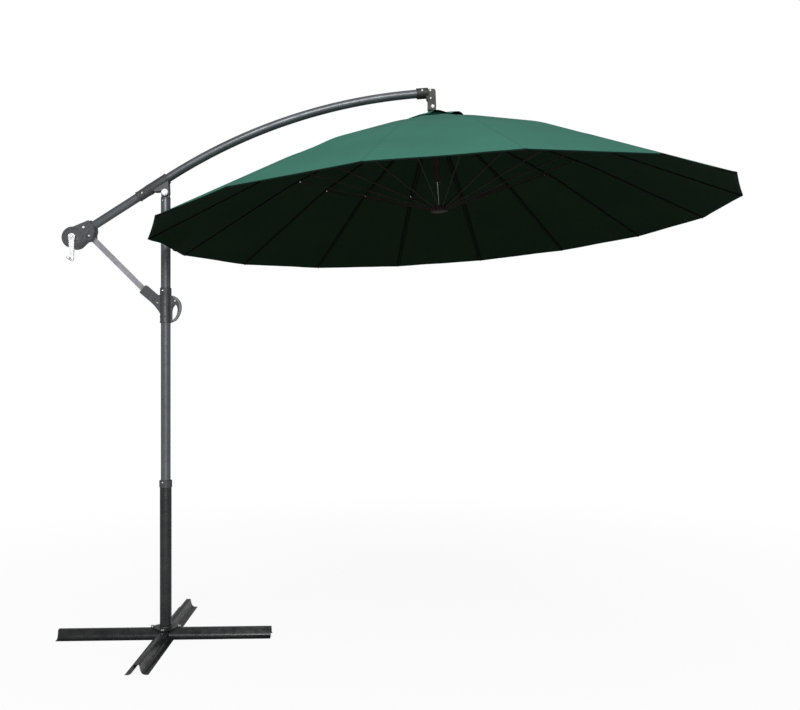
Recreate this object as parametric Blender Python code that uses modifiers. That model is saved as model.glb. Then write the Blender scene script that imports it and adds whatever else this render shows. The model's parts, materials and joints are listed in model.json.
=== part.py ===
"""Cantilever parasol: cross base, two-piece mast, slider with strut, curved arm with crank, hanging
sixteen-rib canopy. Metres, +Z up, arm towards +X. Positions are given from the mast's axis."""

import math

import bmesh
import bpy
from mathutils import Matrix, Vector

GAP = 0.0003  # between pieces that touch

# Stand
MAST_X = -1.0836  # the mast's axis, from the middle of the whole object's box
CROSS_HALF = 0.500
CROSS_SHEET = 0.0018
CROSS_HIGH = 0.0440
FLANGE_HALF = 0.0490
HALVING_FLOOR = 0.0218  # the lower member's web is cut down to this height
HALVING_ROOF = 0.0222  # the upper member is cut away up to this height
HALVING_NARROW = 0.0188
HALVING_WIDE = 0.0495
FOOT_HALF_DIAGONAL = 0.0750
FOOT_LOW = CROSS_HIGH + GAP
FOOT_THICK = 0.0060
FOOT_BOLT_AT = 0.0620
FOOT_BOLT_R = 0.0040
LOWER_R = 0.0272
LOWER_WALL = 0.0018
LOWER_TOP = 0.7285
COLLAR_LOW = 0.7127
COLLAR_TOP = 0.7463
COLLAR_R = 0.0297
MAST_R = 0.0225
MAST_WALL = 0.0015
MAST_LOW = 0.6000
MAST_TOP = 2.0820

# Slider
SLIDER_LOW = 1.4936
SLIDER_TOP = 1.6293
SLIDER_R = 0.0262
STOP_TOP = 1.6603
STRUT_FOOT = (-0.0550, 1.6050)
STRUT_HEAD = (-0.3500, 1.9010)
STRUT_HALF_WIDE = 0.0130
STRUT_HALF_THICK = 0.0045
STRUT_SLACK_R = 0.0120
FORK_HALF = 0.0125
HANDLE_HALF_THICK = 0.0090
LEVER_PIN = (0.0450, 1.5990)

# Arm
PIVOT = (0.0, 2.1125)
ARM_ANGLE = math.radians(33.3)
ARM_ORIGIN = (0.0, 2.1764)
ARM_R = 0.0200
ARM_WALL = 0.0015
ARM_REAR = -0.4150
ARM_BEND_AT = 0.0155
ARM_BEND_R = 2.6000
ARM_END_X = 1.2250
CLAMP_FROM = -0.1555
CLAMP_TO = 0.0125
CLAMP_R = 0.0250
DRUM = (-0.4270, 1.8940)
DRUM_R = 0.0510
DRUM_HALF = 0.0300
REEL_CORE_R = 0.0140
ROOM_R = 0.0440
ROOM_HALF = 0.0265
THROAT_HALF = 0.0262
THROAT_AT = -0.4060  # the housing's mouth, along the arm
THROAT_FROM = -0.5000
THROAT_LONG = 0.1200
AXLE_R = 0.0060
STRUT_SLOT_R = 0.0285
STRUT_SLOT_HALF = 0.0052
STRUT_PIN_R = 0.0050
LUG_R = 0.0205
CORD_R = 0.0015
HANGER = (1.2731, 2.5374)
GUIDE = (1.2510, 2.5790)  # the bar that turns the cord downwards

# Canopy, in its own frame: origin at the middle of the rim's plane, +Z along its axis
CANOPY_AT = (1.3112, 1.9566)
CANOPY_TILT = math.radians(-3.75)
RIBS = 16
FIRST_RIB = math.radians(6.47)
RIM_R = 1.3676
CLOTH = 0.0008
SLOPE_CROWN = 0.300  # fall of the cloth's line along a rib, per metre outwards
SLOPE_PANEL = 0.360
SLOPE_RIM = 0.475
SHOULDER = (0.240, 0.360)  # radii between which the crown's slope bends to the panel's
KNEE = (0.700, 0.800)  # radii between which the panel's slope bends to the rim's
CAP_RING = ((0.026, 0.5400), (0.080, 0.5320), (0.130, 0.5180), (0.172, 0.5045))
VENT_R = 0.1745
CLOTH_RADII = (VENT_R, 0.240, 0.300, 0.360, 0.530, 0.700, 0.750, 0.800, 1.000, 1.200, RIM_R)
MAST_NOTCH = (-1.2865, 0.0, -0.0250)  # the hem's bend where it rests against the mast
NOTCH_PANEL = 7
NOTCH_T = 0.7124  # where the bend lies across its panel
NOTCH_FROM = 0.90  # the cloth is undisturbed nearer the crown than this
PLAIN_STEPS = (0.0, 0.25, 0.5, 0.75)
NOTCH_STEPS = (0.0, 0.36, NOTCH_T, 0.86)
RIB_R = 0.0030
RIB_HINGE = (0.045, 0.520)
RIB_ROOT_R = 0.0415
RIB_DROP = 0.0050  # a rib's middle line below the cloth
RIB_RADII = (0.100, VENT_R, 0.240, 0.300, 0.360, 0.530, 0.700, 0.750, 0.800, 1.000, 1.200, 1.360)
RIVET_R = 0.6950
RIVET_DROP = 0.0040
STAY_HINGE = (0.0355, 0.0900)
STAY_SIDE = 0.0062  # each stay lies this far beside its rib's plane
STAY_HALF_THICK = 0.0015
STAY_HALF_WIDE = 0.0032
STAY_BOSS_R = 0.0034
STAY_BOSS_HIGH = 0.0032
CROWN_R = 0.0520
CROWN_LOW = 0.5130
CROWN_TOP = 0.5270
HANG_HIGH = 0.5820
POST_R = 0.0160
POST_HALF = 0.0105
PASSAGE_R = 0.0028
PASSAGE_OVER = 0.0200  # the passage starts this far above the cord's first point
STEM_R = 0.0155
STEM_WALL = 0.0030
STEM_LOW = 0.2180
RUNNER_R = 0.0410
RUNNER_LOW = 0.0780
RUNNER_TOP = 0.1020


def start():
    for obj in list(bpy.data.objects):
        bpy.data.objects.remove(obj, do_unlink=True)
    parts = bpy.data.collections.new("cantilever_parasol")
    cutters = bpy.data.collections.new("cutters")
    bpy.context.scene.collection.children.link(parts)
    bpy.context.scene.collection.children.link(cutters)
    cutters.hide_render = True
    return parts, cutters


PARTS, CUTTERS = start()


def material(name, color, metallic, roughness):
    made = bpy.data.materials.new(name)
    made.use_nodes = True
    shader = made.node_tree.nodes["Principled BSDF"]
    shader.inputs["Base Color"].default_value = (*color, 1.0)
    shader.inputs["Metallic"].default_value = metallic
    shader.inputs["Roughness"].default_value = roughness
    made.diffuse_color = (*color, 1.0)
    return made


LOOKS = {
    "base": ((0.055, 0.057, 0.058), 0.3, 0.45),
    "mast": ((0.090, 0.095, 0.100), 0.3, 0.38),
    "casting": ((0.040, 0.044, 0.048), 0.0, 0.50),
    "arm": ((0.120, 0.130, 0.140), 0.3, 0.35),
    "strut": ((0.320, 0.325, 0.340), 0.5, 0.35),
    "zinc": ((0.750, 0.750, 0.760), 1.0, 0.25),
    "crank": ((0.700, 0.710, 0.720), 0.6, 0.30),
    "rib": ((0.030, 0.020, 0.018), 0.0, 0.45),
    "hub": ((0.045, 0.020, 0.016), 0.0, 0.50),
    "cord": ((0.550, 0.540, 0.500), 0.0, 0.80),
    "cloth": ((0.020, 0.120, 0.075), 0.0, 0.85),
}


def finish(obj, look, smooth=True, frame=None, keep=PARTS):
    """Links the object, gives it its own material and hangs it on its frame."""
    keep.objects.link(obj)
    color, metallic, roughness = LOOKS[look]
    obj.data.materials.clear()
    obj.data.materials.append(material(obj.name + "_" + look, color, metallic, roughness))
    if obj.type == "MESH" and smooth:
        for face in obj.data.polygons:
            face.use_smooth = True
    if frame is not None:
        obj.parent = frame
    return obj


def as_cutter(obj):
    CUTTERS.objects.link(obj)
    obj.display_type = "WIRE"
    obj.hide_render = True
    return obj


def outline_curve(name, outlines, half):
    """A flat outline, with any holes as further outlines, extruded half each way along local Z."""
    data = bpy.data.curves.new(name, "CURVE")
    data.dimensions = "2D"
    data.fill_mode = "BOTH"
    data.extrude = half
    for points in outlines:
        spline = data.splines.new("POLY")
        spline.points.add(len(points) - 1)
        for point, (x, y) in zip(spline.points, points):
            point.co = (x, y, 0.0, 1.0)
        spline.use_cyclic_u = True
    return data


def to_mesh(name, curve):
    """The curve's mesh with its seams welded."""
    holder = bpy.data.objects.new(name + "_curve", curve)
    bpy.context.scene.collection.objects.link(holder)
    bpy.context.view_layer.update()
    graph = bpy.context.evaluated_depsgraph_get()
    mesh = bpy.data.meshes.new_from_object(holder.evaluated_get(graph), depsgraph=graph)
    bpy.data.objects.remove(holder, do_unlink=True)
    shape = bmesh.new()
    shape.from_mesh(mesh)
    bmesh.ops.remove_doubles(shape, verts=shape.verts, dist=1e-6)
    bmesh.ops.recalc_face_normals(shape, faces=shape.faces)
    shape.to_mesh(mesh)
    shape.free()
    mesh.name = name
    return mesh


def plate(name, outlines, half, upright=True):
    """A plate in the XZ plane (upright) or the XY plane, centred on its own plane."""
    mesh = to_mesh(name, outline_curve(name, outlines, half))
    if upright:
        mesh.transform(Matrix.Rotation(math.pi / 2, 4, "X"))
    return bpy.data.objects.new(name, mesh)


def turned(name, profile, sides, closed=False):
    """A profile (radius, height) turned about local Z. A closed profile makes a ring."""
    mesh = bpy.data.meshes.new(name)
    following = list(profile[1:]) + [profile[0]]
    if sum(a[0] * b[1] - b[0] * a[1] for a, b in zip(profile, following)) > 0.0:
        profile = list(reversed(profile))
    points = [(r, 0.0, z) for r, z in profile]
    edges = [(i, i + 1) for i in range(len(points) - 1)]
    if closed:
        edges.append((len(points) - 1, 0))
    mesh.from_pydata(points, edges, [])
    obj = bpy.data.objects.new(name, mesh)
    screw = obj.modifiers.new("turn", "SCREW")
    screw.steps = sides
    screw.render_steps = sides
    screw.use_merge_vertices = True
    screw.merge_threshold = 0.0001
    return obj


def ring(name, inner, outer, low, high, sides=32):
    """A plain sleeve about local Z."""
    return turned(name, ((inner, low), (inner, high), (outer, high), (outer, low)), sides, True)


def cylinder(name, radius, low, high, sides=32, axis="Z"):
    shape = bmesh.new()
    bmesh.ops.create_cone(
        shape, cap_ends=True, segments=sides, radius1=radius, radius2=radius, depth=high - low
    )
    bmesh.ops.translate(shape, verts=shape.verts, vec=(0.0, 0.0, (low + high) / 2))
    mesh = bpy.data.meshes.new(name)
    shape.to_mesh(mesh)
    shape.free()
    if axis == "Y":
        mesh.transform(Matrix.Rotation(-math.pi / 2, 4, "X"))
    return bpy.data.objects.new(name, mesh)


def box(name, low, high):
    shape = bmesh.new()
    bmesh.ops.create_cube(shape, size=1.0)
    size = [b - a for a, b in zip(low, high)]
    middle = [(a + b) / 2 for a, b in zip(low, high)]
    bmesh.ops.scale(shape, verts=shape.verts, vec=size)
    bmesh.ops.translate(shape, verts=shape.verts, vec=middle)
    mesh = bpy.data.meshes.new(name)
    shape.to_mesh(mesh)
    shape.free()
    return bpy.data.objects.new(name, mesh)


def rod(name, points, radius, resolution, caps=True):
    """A round wire along a polyline, as a mesh."""
    data = bpy.data.curves.new(name, "CURVE")
    data.dimensions = "3D"
    data.bevel_depth = radius
    data.bevel_resolution = resolution
    data.use_fill_caps = caps
    spline = data.splines.new("POLY")
    spline.points.add(len(points) - 1)
    for point, place in zip(spline.points, points):
        point.co = (*place, 1.0)
    return bpy.data.objects.new(name, to_mesh(name, data))


def boolean(obj, other, operation):
    cut = obj.modifiers.new(operation.lower(), "BOOLEAN")
    cut.operation = operation
    cut.solver = "EXACT"
    cut.object = other
    if other.name not in CUTTERS.objects:
        as_cutter(other)


def place(obj, x, z, y=0.0, turn=0.0):
    """Puts a shape at a point given from the mast's axis, turned in the XZ plane."""
    obj.location = (x + MAST_X, y, z)
    obj.rotation_euler = (0.0, -turn, 0.0)
    return obj


def shift(outline, origin):
    return [(x - origin[0], z - origin[1]) for x, z in outline]


def arc(center, radius, start_deg, end_deg, count):
    steps = [math.radians(start_deg + (end_deg - start_deg) * i / (count - 1)) for i in range(count)]
    return [(center[0] + radius * math.cos(a), center[1] + radius * math.sin(a)) for a in steps]


def circle(center, radius, count):
    return arc(center, radius, 0.0, 360.0 * (count - 1) / count, count)


def arm_point(s):
    """The arm's centre line in the XZ plane: straight to the bend, then an arc."""
    ux, uz = math.cos(ARM_ANGLE), math.sin(ARM_ANGLE)
    if s <= ARM_BEND_AT:
        return ARM_ORIGIN[0] + s * ux, ARM_ORIGIN[1] + s * uz
    turn = (s - ARM_BEND_AT) / ARM_BEND_R
    bx = ARM_ORIGIN[0] + ARM_BEND_AT * ux
    bz = ARM_ORIGIN[1] + ARM_BEND_AT * uz
    cx, cz = bx + ARM_BEND_R * uz, bz - ARM_BEND_R * ux
    angle = math.pi / 2 + ARM_ANGLE - turn
    return cx + ARM_BEND_R * math.cos(angle), cz + ARM_BEND_R * math.sin(angle)


def arm_length_at(x):
    """How far along the arm its centre line reaches a given X."""
    ux, uz = math.cos(ARM_ANGLE), math.sin(ARM_ANGLE)
    cx = ARM_ORIGIN[0] + ARM_BEND_AT * ux + ARM_BEND_R * uz
    angle = math.acos((x - cx) / ARM_BEND_R)
    return ARM_BEND_AT + ARM_BEND_R * (math.pi / 2 + ARM_ANGLE - angle)


ARM_END = arm_length_at(ARM_END_X)
ARM_END_ANGLE = ARM_ANGLE - (ARM_END - ARM_BEND_AT) / ARM_BEND_R


def canopy_frame():
    frame = bpy.data.objects.new("canopy_frame", None)
    PARTS.objects.link(frame)
    frame.location = (CANOPY_AT[0] + MAST_X, 0.0, CANOPY_AT[1])
    frame.rotation_euler = (0.0, CANOPY_TILT, 0.0)
    return frame


# ---- stand


def hat_outline():
    """The pressed hat section of a cross member, with a cove between web and flange."""
    half = [
        (FLANGE_HALF, 0.0), (FLANGE_HALF, CROSS_SHEET), (0.0360, CROSS_SHEET), (0.0275, 0.0042),
        (0.0212, 0.0105), (0.0178, 0.0180), (0.0132, 0.0370), (0.0116, 0.0421), (0.0080, CROSS_HIGH),
    ]
    inner = [
        (0.0068, 0.0422), (0.0101, 0.0407), (0.0114, 0.0366), (0.0161, 0.0174), (0.0196, 0.0094),
        (0.0262, 0.0028), (0.0356, 0.0),
    ]
    left = [(-x, z) for x, z in reversed(half)]
    return half + left + [(-x, z) for x, z in reversed(inner)] + inner


def cross_member(name, along_x):
    """A hat-section bar, notched at its middle so that the two halve into each other."""
    obj = plate(name, [hat_outline()], CROSS_HALF)
    if along_x:
        obj.data.transform(Matrix.Rotation(math.pi / 2, 4, "Z"))
        notch = box(name + "_notch", (-HALVING_NARROW, -0.1, HALVING_FLOOR), (HALVING_NARROW, 0.1, 0.1))
    else:
        notch = box(name + "_notch", (-0.1, -HALVING_WIDE, -0.01), (0.1, HALVING_WIDE, HALVING_ROOF))
    place(notch, 0.0, 0.0)
    boolean(obj, notch, "DIFFERENCE")
    for side in (-1, 1):
        hole = cylinder(f"{name}_hole_{side}", FOOT_BOLT_R + GAP, 0.03, 0.06, 16)
        at = side * FOOT_BOLT_AT
        hole.location = (MAST_X + (at if along_x else 0.0), 0.0 if along_x else at, 0.0)
        boolean(obj, hole, "DIFFERENCE")
    place(obj, 0.0, 0.0)
    return finish(obj, "base", smooth=False)


def foot_outline():
    corners = []
    for quarter in range(4):
        a = math.radians(90 * quarter)
        for across in (-0.0070, 0.0070):
            x, y = FOOT_HALF_DIAGONAL - 0.0070, across
            corners.append((x * math.cos(a) - y * math.sin(a), x * math.sin(a) + y * math.cos(a)))
    return corners


def bolt_places():
    return [(FOOT_BOLT_AT, 0.0), (0.0, FOOT_BOLT_AT), (-FOOT_BOLT_AT, 0.0), (0.0, -FOOT_BOLT_AT)]


def mast_foot():
    """The diamond plate with the lower mast tube welded on."""
    holes = [circle(at, FOOT_BOLT_R + GAP, 16) for at in bolt_places()]
    obj = plate("mast_foot", [foot_outline()] + holes, FOOT_THICK / 2, upright=False)
    obj.data.transform(Matrix.Translation((0.0, 0.0, FOOT_LOW + FOOT_THICK / 2)))
    tube = ring("mast_foot_tube", LOWER_R - LOWER_WALL, LOWER_R, FOOT_LOW + 0.003, LOWER_TOP, 40)
    place(tube, 0.0, 0.0)
    place(obj, 0.0, 0.0)
    boolean(obj, tube, "UNION")
    return finish(obj, "base", smooth=False)


def foot_bolt(number, at):
    """A hexagon bolt with its nut under the crest."""
    head = FOOT_LOW + FOOT_THICK + GAP
    under = CROSS_HIGH - CROSS_SHEET - GAP - 0.0002
    profile = (
        (0.0, head + 0.0055), (0.0080, head + 0.0050), (0.0085, head), (FOOT_BOLT_R, head),
        (FOOT_BOLT_R, under), (0.0070, under), (0.0070, under - 0.0060),
        (FOOT_BOLT_R, under - 0.0060), (FOOT_BOLT_R, under - 0.0110), (0.0, under - 0.0110),
    )
    obj = turned(f"foot_bolt_{number}", profile, 12)
    obj.location = (MAST_X + at[0], at[1], 0.0)
    return finish(obj, "zinc", smooth=False)


def mast_collar():
    """The stepped ring that clamps the upper mast in the lower one."""
    step = LOWER_TOP + 0.0005
    profile = (
        (LOWER_R + GAP, COLLAR_LOW), (LOWER_R + GAP, step), (MAST_R + GAP, step),
        (MAST_R + GAP, COLLAR_TOP), (COLLAR_R - 0.0015, COLLAR_TOP), (COLLAR_R, COLLAR_TOP - 0.0015),
        (COLLAR_R, COLLAR_LOW + 0.001), (COLLAR_R - 0.001, COLLAR_LOW),
    )
    obj = turned("mast_collar", profile, 40, True)
    return finish(place(obj, 0.0, 0.0), "casting")


def upper_mast():
    obj = ring("upper_mast", MAST_R - MAST_WALL, MAST_R, MAST_LOW, MAST_TOP, 40)
    return finish(place(obj, 0.0, 0.0), "mast")


def mast_head():
    """Plug, shoulder and tongue that carry the arm's pivot."""
    shoulder = MAST_TOP + GAP
    profile = (
        (0.0, shoulder + 0.0080), (MAST_R - 0.001, shoulder + 0.0080), (MAST_R, shoulder + 0.0070),
        (MAST_R, shoulder), (MAST_R - MAST_WALL - GAP, shoulder),
        (MAST_R - MAST_WALL - GAP, shoulder - 0.0450), (0.0, shoulder - 0.0450),
    )
    obj = turned("mast_head", profile, 40)
    place(obj, 0.0, 0.0)
    base = shoulder + 0.004
    tongue = [(0.0185, base)] + arc(PIVOT, 0.0185, 0.0, 180.0, 13) + [(-0.0185, base)]
    lug = plate("mast_head_tongue", [tongue], 0.0110)
    place(lug, 0.0, 0.0)
    boolean(obj, lug, "UNION")
    hole = cylinder("mast_head_hole", 0.0050 + GAP, -0.03, 0.03, 20, "Y")
    place(hole, *PIVOT)
    boolean(obj, hole, "DIFFERENCE")
    return finish(obj, "casting", smooth=False)


def pin(name, front, back, shank, reach_front, reach_back, head_high, sides=20):
    """A domed pin along Y: front is its head's radius towards -Y, back the other end's."""
    profile = (
        (0.0, -reach_front - head_high), (front * 0.55, -reach_front - head_high * 0.85),
        (front, -reach_front - head_high * 0.25), (front, -reach_front), (shank, -reach_front),
        (shank, reach_back), (back, reach_back), (back, reach_back + head_high * 0.6),
        (back * 0.6, reach_back + head_high), (0.0, reach_back + head_high),
    )
    obj = turned(name, profile, sides)
    obj.rotation_mode = "XYZ"
    return obj


def place_pin(obj, at):
    obj.location = (at[0] + MAST_X, 0.0, at[1])
    obj.rotation_euler = (-math.pi / 2, 0.0, 0.0)
    return obj


def pivot_bolt():
    obj = pin("pivot_bolt", 0.0150, 0.0120, 0.0050, 0.0198, 0.0198, 0.0050, 24)
    return finish(place_pin(obj, PIVOT), "zinc")


def stop_collar():
    profile = (
        (MAST_R + GAP, SLIDER_TOP + GAP), (MAST_R + GAP, STOP_TOP), (SLIDER_R - 0.001, STOP_TOP),
        (SLIDER_R + 0.0005, STOP_TOP - 0.001), (SLIDER_R + 0.0005, SLIDER_TOP + GAP),
    )
    obj = turned("stop_collar", profile, 40, True)
    return finish(place(obj, 0.0, 0.0), "casting")


# ---- slider


def handle_outline():
    """The D-shaped hand grip, outer edge then finger opening."""
    outer = [
        (0.0200, 1.6260), (0.0320, 1.6235), (0.0450, 1.6175), (0.0580, 1.6075), (0.0680, 1.5930),
        (0.0725, 1.5760), (0.0725, 1.5620), (0.0690, 1.5440), (0.0610, 1.5250), (0.0500, 1.5090),
        (0.0380, 1.5000), (0.0280, 1.4960), (0.0200, 1.4960),
    ]
    opening = [
        (0.0300, 1.5770), (0.0400, 1.5830), (0.0490, 1.5800), (0.0560, 1.5700), (0.0580, 1.5560),
        (0.0550, 1.5370), (0.0470, 1.5200), (0.0370, 1.5095), (0.0300, 1.5075),
    ]
    return outer, opening


def fork_outline():
    """The angled socket that takes the strut's foot."""
    return [
        (-0.0200, 1.6265), (-0.0365, 1.6268), (-0.0860, 1.6702), (-0.0906, 1.6725), (-0.0950, 1.6692),
        (-0.1185, 1.6423), (-0.1200, 1.6375), (-0.1165, 1.6335), (-0.0694, 1.5934), (-0.0520, 1.5765),
        (-0.0318, 1.5507), (-0.0200, 1.5300),
    ]


def slider_body():
    """Sleeve on the mast with the strut's fork and its rivet on one side, the D-handle on the other."""
    low, high = SLIDER_LOW, SLIDER_TOP
    profile = (
        (0.0, high), (SLIDER_R - 0.001, high), (SLIDER_R, high - 0.001), (SLIDER_R, low + 0.008),
        (SLIDER_R + 0.0012, low + 0.006), (SLIDER_R + 0.0012, low + 0.001), (SLIDER_R, low), (0.0, low),
    )
    obj = turned("slider_body", profile, 40)
    place(obj, 0.0, 0.0)
    fork = plate("slider_fork", [fork_outline()], FORK_HALF)
    handle = plate("slider_handle", list(handle_outline()), HANDLE_HALF_THICK)
    for piece in (fork, handle):
        place(piece, 0.0, 0.0)
        boolean(obj, piece, "UNION")
    bore = cylinder("slider_bore", MAST_R + 0.0005, low - 0.05, high + 0.05, 40)
    slot = box("slider_slot", (-0.20, -0.0052, 1.50), (-0.0400, 0.0052, 1.72))
    lever_slot = box("slider_lever_slot", (0.0283, -0.0062, 1.5450), (0.0600, 0.0062, 1.6115))
    for piece in (bore, slot, lever_slot):
        place(piece, 0.0, 0.0)
        boolean(obj, piece, "DIFFERENCE")
    rivet = pin("slider_rivet", 0.0080, 0.0070, 0.0040, FORK_HALF - 0.001, FORK_HALF - 0.001, 0.0045, 16)
    boolean(obj, place_pin(rivet, STRUT_FOOT), "UNION")
    return finish(obj, "casting", smooth=False)


def squeeze_lever():
    """The release lever in the hand grip, hanging from its pin."""
    blade = [
        (0.0400, 1.6040), (0.0450, 1.6060), (0.0500, 1.6035), (0.0515, 1.5985), (0.0500, 1.5900),
        (0.0440, 1.5790), (0.0370, 1.5700), (0.0335, 1.5610), (0.0322, 1.5520), (0.0292, 1.5520),
        (0.0292, 1.5640), (0.0315, 1.5760), (0.0360, 1.5860), (0.0390, 1.5950),
    ]
    obj = plate("squeeze_lever", [shift(blade, LEVER_PIN)], 0.0055)
    return finish(place(obj, *LEVER_PIN), "casting", smooth=False)


def strut_direction():
    dx, dz = STRUT_HEAD[0] - STRUT_FOOT[0], STRUT_HEAD[1] - STRUT_FOOT[1]
    return math.hypot(dx, dz), math.atan2(dz, dx)


def support_strut():
    """The flat strut from the slider to the crank housing, its head with a slack eye."""
    length, angle = strut_direction()
    wide = STRUT_HALF_WIDE
    outline = arc((0.0, 0.0), wide, 90.0, 270.0, 9) + arc((length, 0.0), 0.0200, -40.6, 40.6, 9)
    foot_hole = circle((0.0, 0.0), 0.0040 + GAP, 16)
    head_hole = circle((length, 0.0), STRUT_SLACK_R, 24)
    obj = plate("support_strut", [outline, foot_hole, head_hole], STRUT_HALF_THICK)
    return finish(place(obj, *STRUT_FOOT, turn=angle), "strut", smooth=False)


# ---- arm


def along_arm(obj, s):
    """Turns a shape made about local Z so that its axis lies along the straight arm."""
    x, z = arm_point(s)
    obj.location = (x + MAST_X, 0.0, z)
    obj.rotation_euler = (0.0, math.pi / 2 - ARM_ANGLE, 0.0)
    return obj


def arm_clamp():
    """The sleeve round the arm with two cheeks that hang on the pivot bolt."""
    long = CLAMP_TO - CLAMP_FROM
    profile = (
        (0.0, long), (CLAMP_R, long), (CLAMP_R, 0.0600), (CLAMP_R - 0.0010, 0.0560),
        (CLAMP_R - 0.0010, 0.0015), (CLAMP_R - 0.0025, 0.0), (0.0, 0.0),
    )
    obj = turned("arm_clamp", profile, 40)
    along_arm(obj, CLAMP_FROM)
    nx, nz = -math.sin(ARM_ANGLE), math.cos(ARM_ANGLE)
    left, right = arm_point(-0.0740), arm_point(0.0120)
    cheek = [
        (right[0] - 0.010 * nx, right[1] - 0.010 * nz), (left[0] - 0.010 * nx, left[1] - 0.010 * nz),
        (left[0] - 0.0245 * nx, left[1] - 0.0245 * nz), (-0.0185, PIVOT[1] + 0.0060),
    ] + arc(PIVOT, 0.0185, 180.0, 360.0, 13)
    for side in (-1, 1):
        piece = plate(f"arm_clamp_cheek_{side}", [cheek], 0.0040)
        place(piece, 0.0, 0.0, y=side * 0.0155)
        boolean(obj, piece, "UNION")
    bore = cylinder("arm_clamp_bore", ARM_R + GAP, -0.05, long + 0.05, 40)
    along_arm(bore, CLAMP_FROM)
    boolean(obj, bore, "DIFFERENCE")
    hole = cylinder("arm_clamp_hole", 0.0050 + GAP, -0.03, 0.03, 20, "Y")
    place(hole, *PIVOT)
    boolean(obj, hole, "DIFFERENCE")
    return finish(obj, "casting", smooth=False)


def arm_tube():
    """The hollow arm: straight behind the mast, bent in one long arc in front of it."""
    stations = [ARM_REAR, ARM_BEND_AT] + [
        ARM_BEND_AT + (ARM_END - ARM_BEND_AT) * i / 16 for i in range(1, 17)
    ]
    points = [(arm_point(s)[0] + MAST_X, 0.0, arm_point(s)[1]) for s in stations]
    obj = rod("arm_tube", points, ARM_R, 6, caps=False)
    shell = obj.modifiers.new("wall", "SOLIDIFY")
    shell.thickness = ARM_WALL
    shell.offset = -1.0
    shell.use_even_offset = True
    return finish(obj, "arm")


def housing_outline():
    """The crank housing's side view: drum, throat round the arm, lug for the strut."""
    ux, uz = math.cos(ARM_ANGLE), math.sin(ARM_ANGLE)
    mouth = arm_point(THROAT_AT)
    top = (mouth[0] - THROAT_HALF * uz, mouth[1] + THROAT_HALF * ux)
    bottom = (mouth[0] + THROAT_HALF * uz, mouth[1] - THROAT_HALF * ux)
    lug = arc(STRUT_HEAD, LUG_R, 20.0, -110.0, 11)
    notch = [(STRUT_HEAD[0] - 0.0200, STRUT_HEAD[1] - 0.0220)]
    drum = arc(DRUM, DRUM_R, 318.0, 88.0, 25)
    return [top, bottom] + lug + notch + drum


def crank_housing():
    """Hollow drum for the reel, throat for the arm's end and a slotted lug for the strut's head."""
    obj = plate("crank_housing", [housing_outline()], DRUM_HALF)
    place(obj, 0.0, 0.0)
    room = cylinder("crank_housing_room", ROOM_R, -ROOM_HALF, ROOM_HALF, 40, "Y")
    place(room, *DRUM)
    throat = cylinder("crank_housing_throat", ARM_R + GAP, 0.0, THROAT_LONG, 40)
    along_arm(throat, THROAT_FROM)
    axle = cylinder("crank_housing_axle", AXLE_R + GAP, -0.05, 0.05, 24, "Y")
    place(axle, *DRUM)
    slot = plate("crank_housing_slot", [circle(STRUT_HEAD, STRUT_SLOT_R, 28)], STRUT_SLOT_HALF)
    place(slot, 0.0, 0.0)
    eye = cylinder("crank_housing_eye", STRUT_PIN_R + GAP, -0.05, 0.05, 20, "Y")
    place(eye, *STRUT_HEAD)
    for piece in (room, throat, slot, axle, eye):
        boolean(obj, piece, "DIFFERENCE")
    return finish(obj, "casting", smooth=False)


def strut_upper_pin():
    reach = DRUM_HALF + GAP
    obj = pin("strut_upper_pin", 0.0110, 0.0100, 0.0050, reach, reach, 0.0040)
    return finish(place_pin(obj, STRUT_HEAD), "zinc")


def cord_reel():
    """Spool and axle in one: flanges, core and the axle's front end for the crank."""
    profile = (
        (0.0, 0.0325), (0.0060, 0.0325), (0.0060, 0.0240), (0.0380, 0.0240), (0.0380, 0.0220),
        (REEL_CORE_R, 0.0205), (REEL_CORE_R, -0.0205), (0.0380, -0.0220), (0.0380, -0.0240),
        (0.0060, -0.0240), (0.0060, -0.0480), (0.0, -0.0480),
    )
    obj = turned("cord_reel", profile, 28)
    return finish(place_pin(obj, DRUM), "crank")


def crank_handle():
    """Hub with a bore for the axle and a tapered lever that hangs from it."""
    lever = arc((0.0, 0.0), 0.0170, 20.0, 160.0, 11) + [
        (-0.0125, -0.0180), (-0.0105, -0.0850), (-0.0150, -0.0930), (-0.0150, -0.1040),
        (-0.0070, -0.1120), (0.0060, -0.1120), (0.0090, -0.1060), (0.0125, -0.0180),
    ]
    bore = circle((0.0, 0.0), 0.0060 + GAP, 20)
    knob_hole = circle((-0.0060, -0.1000), 0.0030 + GAP, 14)
    obj = plate("crank_handle", [lever, bore, knob_hole], 0.0050)
    return finish(place(obj, *DRUM, y=-0.0400), "crank", smooth=False)


def crank_knob():
    """The turning grip on the lever's end."""
    profile = (
        (0.0, 0.0080), (0.0045, 0.0080), (0.0045, 0.0053), (0.0030, 0.0053), (0.0030, -0.0053),
        (0.0080, -0.0053), (0.0095, -0.0120), (0.0088, -0.0290), (0.0070, -0.0330), (0.0, -0.0350),
    )
    obj = turned("crank_knob", profile, 20)
    obj.location = (DRUM[0] - 0.0060 + MAST_X, -0.0400, DRUM[1] - 0.1000)
    obj.rotation_euler = (-math.pi / 2, 0.0, 0.0)
    return finish(obj, "crank")


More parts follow.
